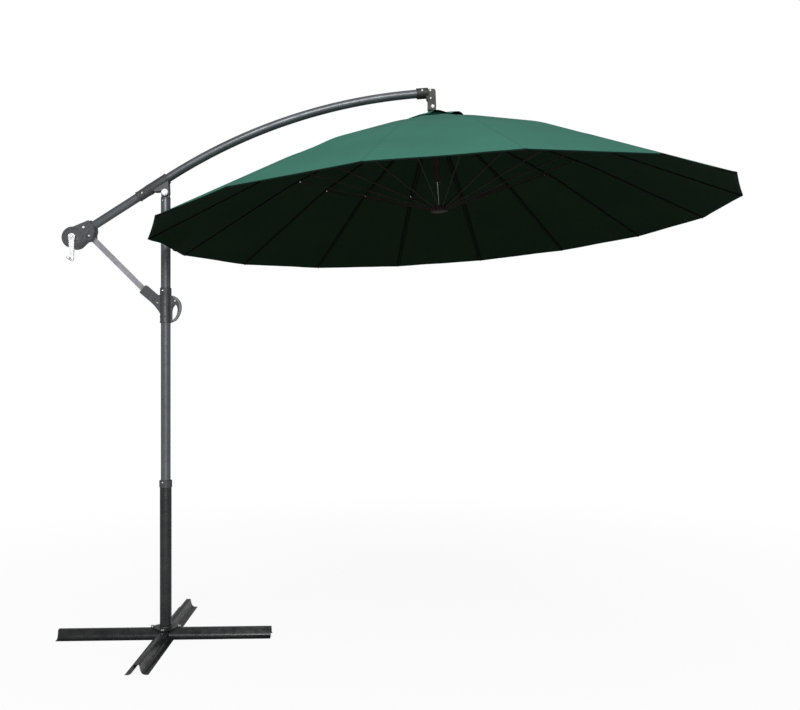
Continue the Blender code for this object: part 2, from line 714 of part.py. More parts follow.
def arm_end_bracket():
    """Socket on the arm's end with two cheeks for the hanger bolt and a bar that guides the cord."""
    end = arm_point(ARM_END)
    turn = ARM_END_ANGLE
    socket = turned(
        "arm_end_bracket",
        ((0.0, 0.0270), (0.0240, 0.0270), (0.0255, 0.0255), (0.0255, -0.0290), (0.0, -0.0290)),
        40,
    )
    socket.location = (end[0] + MAST_X, 0.0, end[1])
    socket.rotation_euler = (0.0, math.pi / 2 - turn, 0.0)
    cheek = [
        (1.2290, 2.6170), (1.2760, 2.6215), (1.2835, 2.6190), (1.2868, 2.6120),
        (1.2899, 2.5374), (1.2890, 2.5240), (1.2840, 2.5206), (1.2545, 2.5206), (1.2500, 2.5250),
        (1.2500, 2.5680), (1.2440, 2.5735), (1.2440, 2.5830), (1.2290, 2.5860),
    ]
    clear = cylinder("arm_end_bracket_clear", 0.0208, -0.0500, 0.0500, 40)
    clear.location = socket.location
    clear.rotation_euler = socket.rotation_euler
    boolean(socket, clear, "DIFFERENCE")
    for side in (-1, 1):
        piece = plate(f"arm_end_bracket_cheek_{side}", [cheek], 0.0030)
        place(piece, 0.0, 0.0, y=side * 0.0145)
        boolean(socket, piece, "UNION")
    bar = cylinder("arm_end_bracket_bar", 0.0060, -0.0150, 0.0150, 20, "Y")
    place(bar, *GUIDE)
    boolean(socket, bar, "UNION")
    hole = cylinder("arm_end_bracket_hole", 0.0040 + GAP, -0.03, 0.03, 16, "Y")
    place(hole, *HANGER)
    boolean(socket, hole, "DIFFERENCE")
    return finish(socket, "casting", smooth=False)


def hanger_bolt():
    obj = pin("hanger_bolt", 0.0080, 0.0070, 0.0040, 0.0178, 0.0178, 0.0035, 16)
    return finish(place_pin(obj, HANGER), "zinc")


# ---- canopy


def slotted_disc(name, radius, slot_end, half_slot, side, half):
    """A disc with one slot for each rib, every slot parallel to its rib and set off to one side."""
    points = []
    for k in range(RIBS):
        a = FIRST_RIB + 2 * math.pi * k / RIBS
        for across, at_rim in ((-1, True), (-1, False), (1, False), (1, True)):
            t = side + across * half_slot
            x = math.sqrt(radius * radius - t * t) if at_rim else slot_end
            points.append((x * math.cos(a) - t * math.sin(a), x * math.sin(a) + t * math.cos(a)))
    return plate(name, [points], half, upright=False)


def canopy_cord_points():
    """The cord's last stretch in the canopy's frame, from the hanger down to the runner."""
    return [
        (-0.0105, HANG_HIGH + 0.0100), (-0.0105, HANG_HIGH - 0.0050), (-0.0085, HANG_HIGH - 0.0170),
        (-0.0015, CROWN_LOW - 0.0010), (0.0, CROWN_LOW - 0.0180), (0.0, RUNNER_LOW + 0.0090),
    ]


def crown_hub(frame):
    """Slotted disc with the hanging post above and the short stem tube below."""
    obj = slotted_disc("crown_hub", CROWN_R, 0.0385, 0.0045, 0.0, (CROWN_TOP - CROWN_LOW) / 2)
    obj.data.transform(Matrix.Translation((0.0, 0.0, (CROWN_TOP + CROWN_LOW) / 2)))
    post = [(POST_R, CROWN_TOP - 0.004), (POST_R, HANG_HIGH)]
    post += arc((0.0, HANG_HIGH), POST_R, 0.0, 180.0, 13) + [(-POST_R, CROWN_TOP - 0.004)]
    block = plate("crown_post", [post], POST_HALF)
    stem = ring("crown_stem", STEM_R - STEM_WALL, STEM_R, STEM_LOW, CROWN_LOW + 0.004, 28)
    eye = cylinder("crown_eye", 0.0040 + GAP, -0.03, 0.03, 16, "Y")
    eye.location = (0.0, 0.0, HANG_HIGH)
    reach = [(x, 0.0, z) for x, z in canopy_cord_points()[:5]]
    reach[0] = (reach[0][0], 0.0, reach[0][2] + PASSAGE_OVER)
    passage = rod("crown_passage", reach, PASSAGE_R, 2)
    for piece, how in ((block, "UNION"), (stem, "UNION"), (eye, "DIFFERENCE"), (passage, "DIFFERENCE")):
        piece.parent = frame
        boolean(obj, piece, how)
    return finish(obj, "hub", smooth=False, frame=frame)


def runner_hub(frame):
    """The lower slotted hub that the cord lifts, with a blind bore for the cord's end."""
    half = (RUNNER_TOP - RUNNER_LOW) / 2
    obj = slotted_disc("runner_hub", RUNNER_R, 0.0290, 0.0030, STAY_SIDE, half)
    obj.location = (0.0, 0.0, (RUNNER_TOP + RUNNER_LOW) / 2)
    bore = cylinder("runner_bore", 0.0024, RUNNER_LOW + 0.006, RUNNER_TOP + 0.02, 12)
    bore.parent = frame
    boolean(obj, bore, "DIFFERENCE")
    return finish(obj, "hub", smooth=False, frame=frame)


def ramp_area(radius, start, end):
    """Area, up to a radius, under a line that rises from 0 to 1 between two radii and stays there."""
    inside = min(max(radius, start), end) - start
    return inside ** 2 / (2 * (end - start)) + max(0.0, radius - end)


def cloth_height(radius):
    """Height of the main cloth along a rib: three straight slopes joined by two bends."""
    fall = SLOPE_CROWN * (RIM_R - radius)
    bends = ((*SHOULDER, SLOPE_PANEL - SLOPE_CROWN), (*KNEE, SLOPE_RIM - SLOPE_PANEL))
    for start, end, change in bends:
        fall += change * (ramp_area(RIM_R, start, end) - ramp_area(radius, start, end))
    return fall


def rib(number, frame):
    """One rib, its origin on its hinge at the crown."""
    angle = FIRST_RIB + 2 * math.pi * number / RIBS
    points = [(RIB_ROOT_R - RIB_HINGE[0], 0.0, 0.0)]
    points += [(r - RIB_HINGE[0], 0.0, cloth_height(r) - RIB_DROP - RIB_HINGE[1]) for r in RIB_RADII]
    obj = rod(f"rib_{number + 1:02d}", points, RIB_R, 1)
    obj.location = (RIB_HINGE[0] * math.cos(angle), RIB_HINGE[0] * math.sin(angle), RIB_HINGE[1])
    obj.rotation_euler = (0.0, 0.0, angle)
    return finish(obj, "rib", frame=frame)


def stay(number, frame):
    """One flat stay from the runner to its rib, lying beside the rib, with a rivet boss at its head."""
    angle = FIRST_RIB + 2 * math.pi * number / RIBS
    dx, dz = RIVET_R - STAY_HINGE[0], cloth_height(RIVET_R) - RIB_DROP - RIVET_DROP - STAY_HINGE[1]
    length, lean = math.hypot(dx, dz), math.atan2(dz, dx)
    wide = STAY_HALF_WIDE
    outline = arc((0.0, 0.0), wide, 90.0, 270.0, 5) + arc((length, 0.0), wide, -90.0, 90.0, 5)
    obj = plate(f"stay_{number + 1:02d}", [outline], STAY_HALF_THICK)
    boss = cylinder(f"stay_{number + 1:02d}_boss", STAY_BOSS_R, 0.0, STAY_BOSS_HIGH, 8, "Y")
    boss.data.transform(Matrix.Translation((length, 0.0, 0.0)))
    obj.data.transform(Matrix.Rotation(-lean, 4, "Y"))
    boss.data.transform(Matrix.Rotation(-lean, 4, "Y"))
    side = Vector((-math.sin(angle), math.cos(angle), 0.0)) * STAY_SIDE
    out = Vector((math.cos(angle), math.sin(angle), 0.0)) * STAY_HINGE[0]
    for piece in (obj, boss):
        piece.location = out + side + Vector((0.0, 0.0, STAY_HINGE[1]))
        piece.rotation_euler = (0.0, 0.0, angle)
    boss.parent = frame
    boolean(obj, boss, "UNION")
    return finish(obj, "rib", smooth=False, frame=frame)


def rim_share(radius):
    """How much of the rim's bend at the mast reaches a given radius of the cloth."""
    return max(0.0, (radius - NOTCH_FROM) / (RIM_R - NOTCH_FROM)) ** 1.5


def ring_point(radius, height, angle):
    return Vector((radius * math.cos(angle), radius * math.sin(angle), height))


def cloth_profile():
    """The cap round the crown, then the main cloth from the vent to the rim."""
    return list(CAP_RING) + [(radius, cloth_height(radius)) for radius in CLOTH_RADII]


def cloth_point(level, k, t):
    """A point of the cloth: level in the profile, panel k, t across the panel from its rib."""
    radius, height = cloth_profile()[level]
    a0 = FIRST_RIB + 2 * math.pi * k / RIBS
    a1 = a0 + 2 * math.pi / RIBS
    flat = ring_point(radius, height, a0).lerp(ring_point(radius, height, a1), t)
    if k != NOTCH_PANEL:
        return flat
    start, end, notch = ring_point(RIM_R, 0.0, a0), ring_point(RIM_R, 0.0, a1), Vector(MAST_NOTCH)
    if t <= NOTCH_T:
        bent = start.lerp(notch, t / NOTCH_T)
    else:
        bent = notch.lerp(end, (t - NOTCH_T) / (1 - NOTCH_T))
    return flat + (bent - start.lerp(end, t)) * rim_share(radius)


def canopy(frame):
    """The cloth: sixteen panels between the ribs, the raised cap round the crown, an open centre."""
    shape = bmesh.new()
    rows = []
    for level in range(len(cloth_profile())):
        row = []
        for k in range(RIBS):
            for t in NOTCH_STEPS if k == NOTCH_PANEL else PLAIN_STEPS:
                row.append(shape.verts.new(cloth_point(level, k, t)))
        rows.append(row)
    count = len(rows[0])
    for inner, outer in zip(rows, rows[1:]):
        for i in range(count):
            j = (i + 1) % count
            shape.faces.new((inner[i], outer[i], outer[j], inner[j]))
    bmesh.ops.recalc_face_normals(shape, faces=shape.faces)
    mesh = bpy.data.meshes.new("canopy")
    shape.to_mesh(mesh)
    shape.free()
    obj = bpy.data.objects.new("canopy", mesh)
    sheet = obj.modifiers.new("cloth", "SOLIDIFY")
    sheet.thickness = CLOTH
    sheet.offset = 0.0
    return finish(obj, "cloth", smooth=False, frame=frame)


def pull_cord():
    """The lifting cord: round the reel, up inside the arm, over the guide bar, down to the runner."""
    ux, uz = math.cos(ARM_ANGLE), math.sin(ARM_ANGLE)
    wrap = REEL_CORE_R + CORD_R + GAP
    top = math.degrees(ARM_ANGLE) + 90.0
    points = [(x, 0.0, z) for x, z in arc(DRUM, wrap, top + 270.0, top, 19)]
    for i in range(1, 6):
        s = -0.42 + 0.06 * i
        x, z = arm_point(s)
        shift_up = wrap * (1 - i / 5)
        points.append((x - shift_up * uz, 0.0, z + shift_up * ux))
    for i in range(0, 17):
        s = ARM_BEND_AT + (ARM_END - ARM_BEND_AT) * i / 16
        x, z = arm_point(s)
        points.append((x, 0.0, z - 0.0100 * max(0.0, (i - 12) / 4)))
    c, s_ = math.cos(CANOPY_TILT), math.sin(CANOPY_TILT)
    lower = []
    for x, z in canopy_cord_points():
        lower.append((CANOPY_AT[0] + c * x + s_ * z, 0.0, CANOPY_AT[1] - s_ * x + c * z))
    bend = [(x, 0.0, z) for x, z in arc(GUIDE, 0.0085, 82.0, 4.0, 7)]
    points += bend + lower
    points = [(x + MAST_X, y, z) for x, y, z in points]
    return finish(rod("pull_cord", points, CORD_R, 1), "cord")


def build():
    cross_member("cross_member_x", True)
    cross_member("cross_member_y", False)
    mast_foot()
    for number, at in enumerate(bolt_places()):
        foot_bolt(number + 1, at)
    mast_collar()
    upper_mast()
    mast_head()
    pivot_bolt()
    stop_collar()
    slider_body()
    squeeze_lever()
    support_strut()
    arm_clamp()
    arm_tube()
    crank_housing()
    strut_upper_pin()
    cord_reel()
    crank_handle()
    crank_knob()
    arm_end_bracket()
    hanger_bolt()
    frame = canopy_frame()
    crown_hub(frame)
    runner_hub(frame)
    for number in range(RIBS):
        rib(number, frame)
        stay(number, frame)
    canopy(frame)
    pull_cord()


build()
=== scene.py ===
"""The looks of the cantilever parasol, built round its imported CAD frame.

Metres, +Z up, arm towards +X. X positions in the lists are given from the mast's axis, as in the CAD."""

import json
import math

import bmesh
import bpy
from mathutils import Matrix, Vector, noise


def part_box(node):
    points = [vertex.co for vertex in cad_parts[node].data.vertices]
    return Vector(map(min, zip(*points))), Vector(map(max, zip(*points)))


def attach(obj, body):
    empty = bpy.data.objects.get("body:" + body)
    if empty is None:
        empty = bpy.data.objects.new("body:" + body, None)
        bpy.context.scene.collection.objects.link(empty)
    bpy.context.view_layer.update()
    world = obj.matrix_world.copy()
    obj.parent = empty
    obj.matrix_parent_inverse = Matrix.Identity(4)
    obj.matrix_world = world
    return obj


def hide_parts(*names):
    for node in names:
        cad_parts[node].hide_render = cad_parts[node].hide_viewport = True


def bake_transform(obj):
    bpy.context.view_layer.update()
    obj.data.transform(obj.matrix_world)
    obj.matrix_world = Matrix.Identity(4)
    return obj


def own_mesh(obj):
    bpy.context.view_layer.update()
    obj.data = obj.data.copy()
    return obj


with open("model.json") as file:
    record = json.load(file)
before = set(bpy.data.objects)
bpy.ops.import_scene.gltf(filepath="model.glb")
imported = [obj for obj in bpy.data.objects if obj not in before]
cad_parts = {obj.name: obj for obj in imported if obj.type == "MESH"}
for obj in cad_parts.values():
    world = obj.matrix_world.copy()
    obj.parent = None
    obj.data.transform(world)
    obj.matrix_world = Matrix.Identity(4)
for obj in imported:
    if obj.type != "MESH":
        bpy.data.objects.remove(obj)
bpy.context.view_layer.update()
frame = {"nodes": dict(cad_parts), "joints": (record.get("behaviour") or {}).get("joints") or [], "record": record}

NODES = frame["nodes"]
JOINTS = {j["name"]: j for j in frame["joints"]}
BODY = {n: b for b, ns in frame["record"]["behaviour"]["bodies"].items() for n in ns}
SLOT = {s["node"]: s["material_slot"] for s in frame["record"]["subparts"]}
WORLD_Y = Vector((0.0, 1.0, 0.0))

# Places taken from the frame
PIVOT = Vector(JOINTS["arm_pivot"]["pos_m"])
MAST_X = PIVOT.x
DRUM = Vector(JOINTS["crank_spin"]["pos_m"])
HANGER = Vector(JOINTS["canopy_swing"]["pos_m"])
LEVER_PIN = Vector(JOINTS["release_lever"]["pos_m"])
LUG = sum(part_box("strut_upper_pin"), Vector()) / 2
BOTH_SIDES = ((-1, "front"), (1, "back"))

# Arm, as in the CAD
ARM_ANGLE = math.radians(33.3)
ARM_COS, ARM_SIN = math.cos(ARM_ANGLE), math.sin(ARM_ANGLE)
ARM_ORIGIN = (MAST_X, 2.1764)
ARM_R = 0.0200
ARM_REAR = -0.4150
ARM_BEND_AT = 0.0155
ARM_BEND_R = 2.6000
ARM_END_X = 1.2250 + MAST_X
MAST_R = 0.0225
MAST_WALL = 0.0015
LOWER_R = 0.0272

# Canopy, as in the CAD, in its own frame: origin at the middle of the rim's plane, +Z along its axis
RIBS = 16
RIB_HINGE_R = 0.045
RIB_HINGE_Z = 0.520
RIM_R = 1.3676
CLOTH = 0.0008
PANEL = 2 * math.pi / RIBS
NOTCH = Vector((-1.2865, 0.0, -0.0250))  # the hem's bend where it rests against the mast
NOTCH_PANEL = 7
NOTCH_T = 0.7124
NOTCH_FROM = 0.90
SLOPE_CROWN = 0.300  # fall of the cloth's line along a rib, per metre outwards
SLOPE_PANEL = 0.360
SLOPE_RIM = 0.475
SHOULDER = (0.240, 0.360)  # radii between which one slope bends to the next
KNEE = (0.700, 0.800)
GORE_FROM = 0.100  # the main cloth's inner edge, under the cap
RIB_DROP = 0.0050  # a rib's middle line below the cloth
RIVET_R = 0.695  # where a stay meets its rib, beside the rib and a little below it
RIVET_DROP = 0.0040
RIVET_SIDE = 0.0079
SAG = 0.0015  # the taut panels are nearly flat between their ribs
CAP_IN = 0.046
CAP_OUT = 0.1745
CAP_ENDS = (CAP_IN, 0.075, 0.110, CAP_OUT)  # radii that cut a cap piece into stretches
CAP_PROFILE = ((CAP_IN, 0.5420), (0.080, 0.5345), (0.130, 0.5165), (0.160, 0.5035), (CAP_OUT, 0.4965))
# The cap's ruffles: middle of each in degrees, half its width, and how far its edge is lifted
RUFFLES = (
    (-118.0, 9.0, 0.003), (-88.0, 12.0, 0.018), (-52.0, 12.0, 0.018), (-31.0, 6.0, 0.007),
    (4.0, 11.0, 0.008), (40.0, 12.0, 0.013), (84.0, 14.0, 0.013), (126.0, 12.0, 0.011),
    (163.0, 10.0, 0.004), (-151.0, 9.0, 0.003),
)


# ---- canopy's own frame, worked out from its joints


def canopy_matrix():
    hinges = [Vector(JOINTS[f"rib_hinge_{k + 1:02d}"]["pos_m"]) for k in range(RIBS)]
    axis = Vector(JOINTS["runner_slide"]["axis"]).normalized()
    middle = sum(hinges, Vector()) / RIBS - RIB_HINGE_Z * axis
    across = WORLD_Y.cross(axis).normalized()
    turn = Matrix((across, WORLD_Y, axis)).transposed().to_4x4()
    return Matrix.Translation(middle) @ turn


CANOPY = canopy_matrix()
CANOPY_TURN = CANOPY.to_3x3()
CANOPY_UP = CANOPY_TURN @ Vector((0.0, 0.0, 1.0))
FIRST_HINGE = CANOPY.inverted() @ Vector(JOINTS["rib_hinge_01"]["pos_m"])
FIRST_RIB = math.atan2(FIRST_HINGE.y, FIRST_HINGE.x)


# ---- materials


def new_material(name, color, rough=0.5, metallic=0.0):
    made = bpy.data.materials.new(name)
    made.use_nodes = True
    made.diffuse_color = (*color, 1.0)
    shader = made.node_tree.nodes["Principled BSDF"]
    shader.inputs["Base Color"].default_value = (*color, 1.0)
    shader.inputs["Roughness"].default_value = rough
    shader.inputs["Metallic"].default_value = metallic
    return made, made.node_tree, shader


def put(tree, kind, values=None, **settings):
    made = tree.nodes.new(kind)
    for key, value in settings.items():
        setattr(made, key, value)
    for key, value in (values or {}).items():
        if isinstance(value, bpy.types.NodeSocket):
            tree.links.new(value, made.inputs[key])
        else:
            made.inputs[key].default_value = value
    return made


def noise_node(tree, scale, detail=3.0, vector=None):
    values = {"Scale": scale, "Detail": detail}
    values["Vector"] = vector or put(tree, "ShaderNodeTexCoord").outputs["Object"]
    return put(tree, "ShaderNodeTexNoise", values).outputs["Fac"]


def spread(tree, value, low, high, from_low=0.3, from_high=0.7):
    """Maps a noise value to a range."""
    values = {"Value": value, "From Min": from_low, "From Max": from_high, "To Min": low, "To Max": high}
    return put(tree, "ShaderNodeMapRange", values).outputs["Result"]


def mixed(tree, share, first, second, blend="MIX"):
    made = put(tree, "ShaderNodeMix", data_type="RGBA", blend_type=blend)
    for index, value in ((0, share), (6, first), (7, second)):
        if isinstance(value, bpy.types.NodeSocket):
            tree.links.new(value, made.inputs[index])
        else:
            made.inputs[index].default_value = value if index == 0 else (*value, 1.0)
    return made.outputs[2]


def shaded(color, times):
    return tuple(min(1.0, c * times) for c in color)


def bumps(tree, shader, heights):
    """Chains bumps, each a height, a strength and a distance."""
    last = None
    for height, strength, distance in heights:
        values = {"Height": height, "Strength": strength, "Distance": distance}
        if last is not None:
            values["Normal"] = last
        last = put(tree, "ShaderNodeBump", values).outputs["Normal"]
    tree.links.new(last, shader.inputs["Normal"])


def coated(name, color, rough=0.38, metallic=0.25, edge_highlight=0.35, dust=0.0, grain=700.0):
    """Powder coat or moulded plastic: fine orange peel, uneven gloss, and edges lightened in patches as a painted
    highlight.
    """
    made, tree, shader = new_material(name, color, rough, metallic)
    cloud = spread(tree, noise_node(tree, 9.0), 0.0, 1.0)
    tone = mixed(tree, cloud, shaded(color, 0.86), shaded(color, 1.14))
    # Painted highlight: edges, found where the bevel normal leaves the face's normal, are lightened in patches.
    bevel = put(tree, "ShaderNodeBevel", {"Radius": 0.0012}, samples=4)
    flat = put(tree, "ShaderNodeNewGeometry").outputs["Normal"]
    dot = put(tree, "ShaderNodeVectorMath", {0: bevel.outputs["Normal"], 1: flat}, operation="DOT_PRODUCT")
    edge = spread(tree, dot.outputs["Value"], 1.0, 0.0, 0.72, 0.985)
    patchy_highlight = spread(tree, noise_node(tree, 85.0, 4.0), 0.0, edge_highlight, 0.42, 0.62)
    highlight_mask = put(tree, "ShaderNodeMath", {0: edge, 1: patchy_highlight}, operation="MULTIPLY", use_clamp=True)
    tone = mixed(tree, highlight_mask.outputs[0], tone, shaded(color, 2.6))
    if dust:
        film = spread(tree, noise_node(tree, 26.0, 6.0), 0.0, dust, 0.42, 0.74)
        tone = mixed(tree, film, tone, (0.16, 0.15, 0.13))
    tree.links.new(tone, shader.inputs["Base Color"])
    gloss = spread(tree, noise_node(tree, 38.0, 5.0), rough - 0.06, rough + 0.09)
    tree.links.new(gloss, shader.inputs["Roughness"])
    peel = noise_node(tree, grain, 2.0)
    bumps(tree, shader, [(peel, 0.06, 0.00008), (noise_node(tree, 60.0), 0.05, 0.0003)])
    return made


def plated(name, color=(0.72, 0.72, 0.73), rough=0.24):
    """Zinc or chrome plate with fine scratches."""
    made, tree, shader = new_material(name, color, rough, 1.0)
    place = put(tree, "ShaderNodeTexCoord").outputs["Object"]
    streak = put(tree, "ShaderNodeMapping", {"Vector": place, "Scale": (60.0, 900.0, 900.0)})
    scratch = noise_node(tree, 1.0, 4.0, streak.outputs["Vector"])
    tree.links.new(spread(tree, scratch, rough - 0.08, rough + 0.16), shader.inputs["Roughness"])
    cloud = spread(tree, noise_node(tree, 120.0), 0.0, 1.0)
    tone = mixed(tree, cloud, shaded(color, 0.86), shaded(color, 1.08))
    tree.links.new(tone, shader.inputs["Base Color"])
    bumps(tree, shader, [(scratch, 0.05, 0.0001)])
    return made


def moulded(name, color, rough=0.45, specular=0.5):
    """Grained plastic or fibreglass with a little draw mark."""
    made, tree, shader = new_material(name, color, rough, 0.0)
    shader.inputs["Specular IOR Level"].default_value = specular
    cloud = spread(tree, noise_node(tree, 30.0), 0.0, 1.0)
    tone = mixed(tree, cloud, shaded(color, 0.8), shaded(color, 1.25))
    tree.links.new(tone, shader.inputs["Base Color"])
    gloss = spread(tree, noise_node(tree, 70.0), rough - 0.07, rough + 0.1)
    tree.links.new(gloss, shader.inputs["Roughness"])
    bumps(tree, shader, [(noise_node(tree, 1400.0, 2.0), 0.10, 0.00006)])
    return made


WEAVE = 0.0011  # from one thread to the next
STITCH = 0.0036
SEAM_AT = 0.0052  # each row of stitches from the seam's middle
STITCH_GAP = 0.32  # share of a stitch that is under the cloth
SLUB_GRAIN = (420.0, 9.0)  # thick threads: fine across the panel, long along it


def cloth_material(name, color, rough, specular, seam_shade, seam_shade_tone=0.55, band=0.0055):
    """Coated polyester: plain weave, uneven dye, rows of stitches beside each seam, and a band of painted shade
    along each seam.

    The sheets carry "across" and "along", their distance from the seam and from the crown."""
    made, tree, shader = new_material(name, color, rough, 0.0)
    shader.inputs["Specular IOR Level"].default_value = specular
    across = put(tree, "ShaderNodeAttribute", attribute_name="across").outputs["Fac"]
    along = put(tree, "ShaderNodeAttribute", attribute_name="along").outputs["Fac"]

    def math_of(kind, a, b=0.0):
        return put(tree, "ShaderNodeMath", {0: a, 1: b}, operation=kind).outputs[0]

    warp = math_of("SINE", math_of("MULTIPLY", across, 2 * math.pi / WEAVE))
    weft = math_of("SINE", math_of("MULTIPLY", along, 2 * math.pi / WEAVE))
    weave = math_of("MULTIPLY", warp, weft)
    place = put(tree, "ShaderNodeTexCoord").outputs["Object"]
    cloud = spread(tree, noise_node(tree, 2.6, 4.0, place), 0.0, 1.0)
    tone = mixed(tree, cloud, shaded(color, 0.90), shaded(color, 1.10))
    fine = math_of("MULTIPLY", across, SLUB_GRAIN[0])
    long = math_of("MULTIPLY", along, SLUB_GRAIN[1])
    pair = put(tree, "ShaderNodeCombineXYZ", {0: fine, 1: long})
    slub = spread(tree, noise_node(tree, 1.0, 3.0, pair.outputs[0]), 0.0, 0.22)
    tone = mixed(tree, slub, tone, shaded(color, 0.72))
    # Painted shade: a darker band along each seam; on the underside it is the shadow of the rib below the seam.
    from_seam = math_of("ABSOLUTE", across)
    near = spread(tree, from_seam, 1.0, 0.0, band, band + 0.0040)
    tone = mixed(tree, math_of("MULTIPLY", near, seam_shade), tone, shaded(color, seam_shade_tone))
    row = math_of("ABSOLUTE", math_of("SUBTRACT", from_seam, SEAM_AT))
    on_row = spread(tree, row, 1.0, 0.0, 0.0002, 0.0007)
    dash = math_of("GREATER_THAN", math_of("FRACT", math_of("DIVIDE", along, STITCH)), STITCH_GAP)
    stitch = math_of("MULTIPLY", on_row, dash)
    tone = mixed(tree, math_of("MULTIPLY", stitch, 0.6), tone, shaded(color, 1.9))
    tree.links.new(tone, shader.inputs["Base Color"])
    crinkle = noise_node(tree, 55.0, 4.0, place)
    bumps(tree, shader, [(weave, 0.10, 0.00006), (stitch, 0.5, 0.0004), (crinkle, 0.12, 0.0009)])
    return made


GREEN = (0.0290, 0.130, 0.094)
LOOKS = {
    "base_paint": coated("base_coat", (0.0130, 0.0140, 0.0155), 0.25, 0.3, 0.55, 0.08),
    "mast_paint": coated("mast_coat", (0.110, 0.118, 0.127), 0.30, 0.45, 0.25),
    "arm_paint": coated("arm_coat", (0.076, 0.083, 0.092), 0.33, 0.40, 0.25),
    "strut_metal": coated("strut_coat", (0.230, 0.230, 0.245), 0.36, 0.5, 0.3),
    "dark_casting": coated("cast_coat", (0.039, 0.042, 0.047), 0.42, 0.05, 0.45, 0.0, 420.0),
    "crank_grey": plated("crank_silver", (0.84, 0.85, 0.86), 0.40),
    "reel_plastic": moulded("reel_plastic", (0.040, 0.040, 0.042)),
    "zinc_steel": plated("zinc_plate"),
    "rib_fibre": moulded("rib_fibre", (0.0045, 0.0040, 0.0036), 0.80, 0.10),
    "stay_metal": moulded("stay_coat", (0.0120, 0.0085, 0.0070), 0.70, 0.15),
    "hub_plastic": moulded("hub_plastic", (0.0150, 0.0085, 0.0065), 0.60, 0.20),
    "grip_grey": moulded("grip_grey", (0.170, 0.176, 0.185), 0.42),
    "white_cap": moulded("white_cap", (0.74, 0.74, 0.73), 0.35),
    "bracket": coated("bracket_coat", (0.013, 0.012, 0.011), 0.56, 0.05, 0.6, 0.0, 300.0),
    "weld": coated("weld_coat", (0.040, 0.041, 0.043), 0.45, 0.2, 0.7, 0.3, 240.0),
}
CLOTH_TOP = cloth_material("canopy_cloth", GREEN, 0.75, 0.15, 0.30)
# Near-black underside: the cloth's dark coating, made darker still as painted shade under the canopy; its wide
# seam band is the rib's painted shadow.
CLOTH_UNDER = cloth_material("canopy_underside", (0.0062, 0.0145, 0.0070), 1.0, 0.02, 0.9, 0.30, 0.0105)
BINDING = cloth_material("hem_binding", (0.0025, 0.0110, 0.0080), 0.9, 0.06, 0.0)
CORD_LOOK = moulded("cord_braid", (0.50, 0.49, 0.45), 0.75)


# ---- making pieces


def show(obj):
    bpy.context.scene.collection.objects.link(obj)


def adopt(obj, body, look, stands_for=()):
    """Gives a piece its material and body, and hides the CAD nodes that it stands for."""
    if obj.name not in bpy.context.scene.collection.objects:
        show(obj)
    if not obj.data.materials:
        obj.data.materials.append(LOOKS[look] if isinstance(look, str) else look)
    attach(obj, body)
    if stands_for:
        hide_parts(*stands_for)
    return obj


def from_shape(name, shape, smooth_below=40.0):
    """A bmesh as an object, smooth except at edges sharper than an angle."""
    bmesh.ops.recalc_face_normals(shape, faces=shape.faces)
    limit = math.radians(smooth_below)
    for face in shape.faces:
        face.smooth = True
    for edge in shape.edges:
        edge.smooth = edge.calc_face_angle(0.0) < limit
    mesh = bpy.data.meshes.new(name)
    shape.to_mesh(mesh)
    shape.free()
    return bpy.data.objects.new(name, mesh)


def rounded(obj, width, segments=2, angle=38.0):
    edge = obj.modifiers.new("rounded_edges", "BEVEL")
    edge.width = width
    edge.segments = segments
    edge.limit_method = "ANGLE"
    edge.angle_limit = math.radians(angle)
    edge.use_clamp_overlap = True
    edge.harden_normals = True
    edge.miter_outer = "MITER_ARC"
    return obj


def refined(node, width=0.0008, angle=38.0, look=None):
    """A fine copy of a CAD node: welded, flat faces joined, edges rounded."""
    shape = bmesh.new()
    shape.from_mesh(NODES[node].data)
    bmesh.ops.remove_doubles(shape, verts=shape.verts, dist=2e-5)
    bmesh.ops.dissolve_limit(shape, angle_limit=math.radians(0.6), verts=shape.verts, edges=shape.edges)
    obj = from_shape(node + "_shell", shape, angle)
    if width:
        rounded(obj, width, 2, angle)
    return adopt(obj, BODY[node], look or SLOT[node], [node])


def angles(count):
    return [2 * math.pi * i / count for i in range(count)]


def round_ring(shape, radius, height, sides):
    return [shape.verts.new((radius * math.cos(a), radius * math.sin(a), height)) for a in angles(sides)]


def join_rings(shape, rings, around=False):
    """Quads from each ring to the next: on round to the first ring, or with both ends closed."""
    for low, high in zip(rings, rings[1:] + rings[:1] if around else rings[1:]):
        for i in range(len(low)):
            j = (i + 1) % len(low)
            shape.faces.new((low[i], low[j], high[j], high[i]))
    if not around:
        shape.faces.new(rings[0])
        shape.faces.new(rings[-1])


def lathe(name, profile, sides, matrix):
    """A closed solid turned about local Z from (radius, height) points, which may lie on the axis."""
    shape = bmesh.new()
    rings = []
    for radius, height in profile:
        if radius:
            rings.append(round_ring(shape, radius, height, sides))
        else:
            rings.append([shape.verts.new((0.0, 0.0, height))])
    for low, high in zip(rings, rings[1:]):
        for i in range(sides):
            j = (i + 1) % sides
            corners = [low[i % len(low)], low[j % len(low)], high[j % len(high)], high[i % len(high)]]
            corners = list(dict.fromkeys(corners))
            if len(corners) > 2:
                shape.faces.new(corners)
    bmesh.ops.transform(shape, matrix=matrix, verts=shape.verts)
    return from_shape(name, shape)


def hoop(name, profile, sides, matrix):
    """A closed ring turned about local Z: the profile goes round and joins up."""
    shape = bmesh.new()
    rings = [round_ring(shape, radius, height, sides) for radius, height in profile]
    join_rings(shape, rings, around=True)
    bmesh.ops.transform(shape, matrix=matrix, verts=shape.verts)
    return from_shape(name, shape)


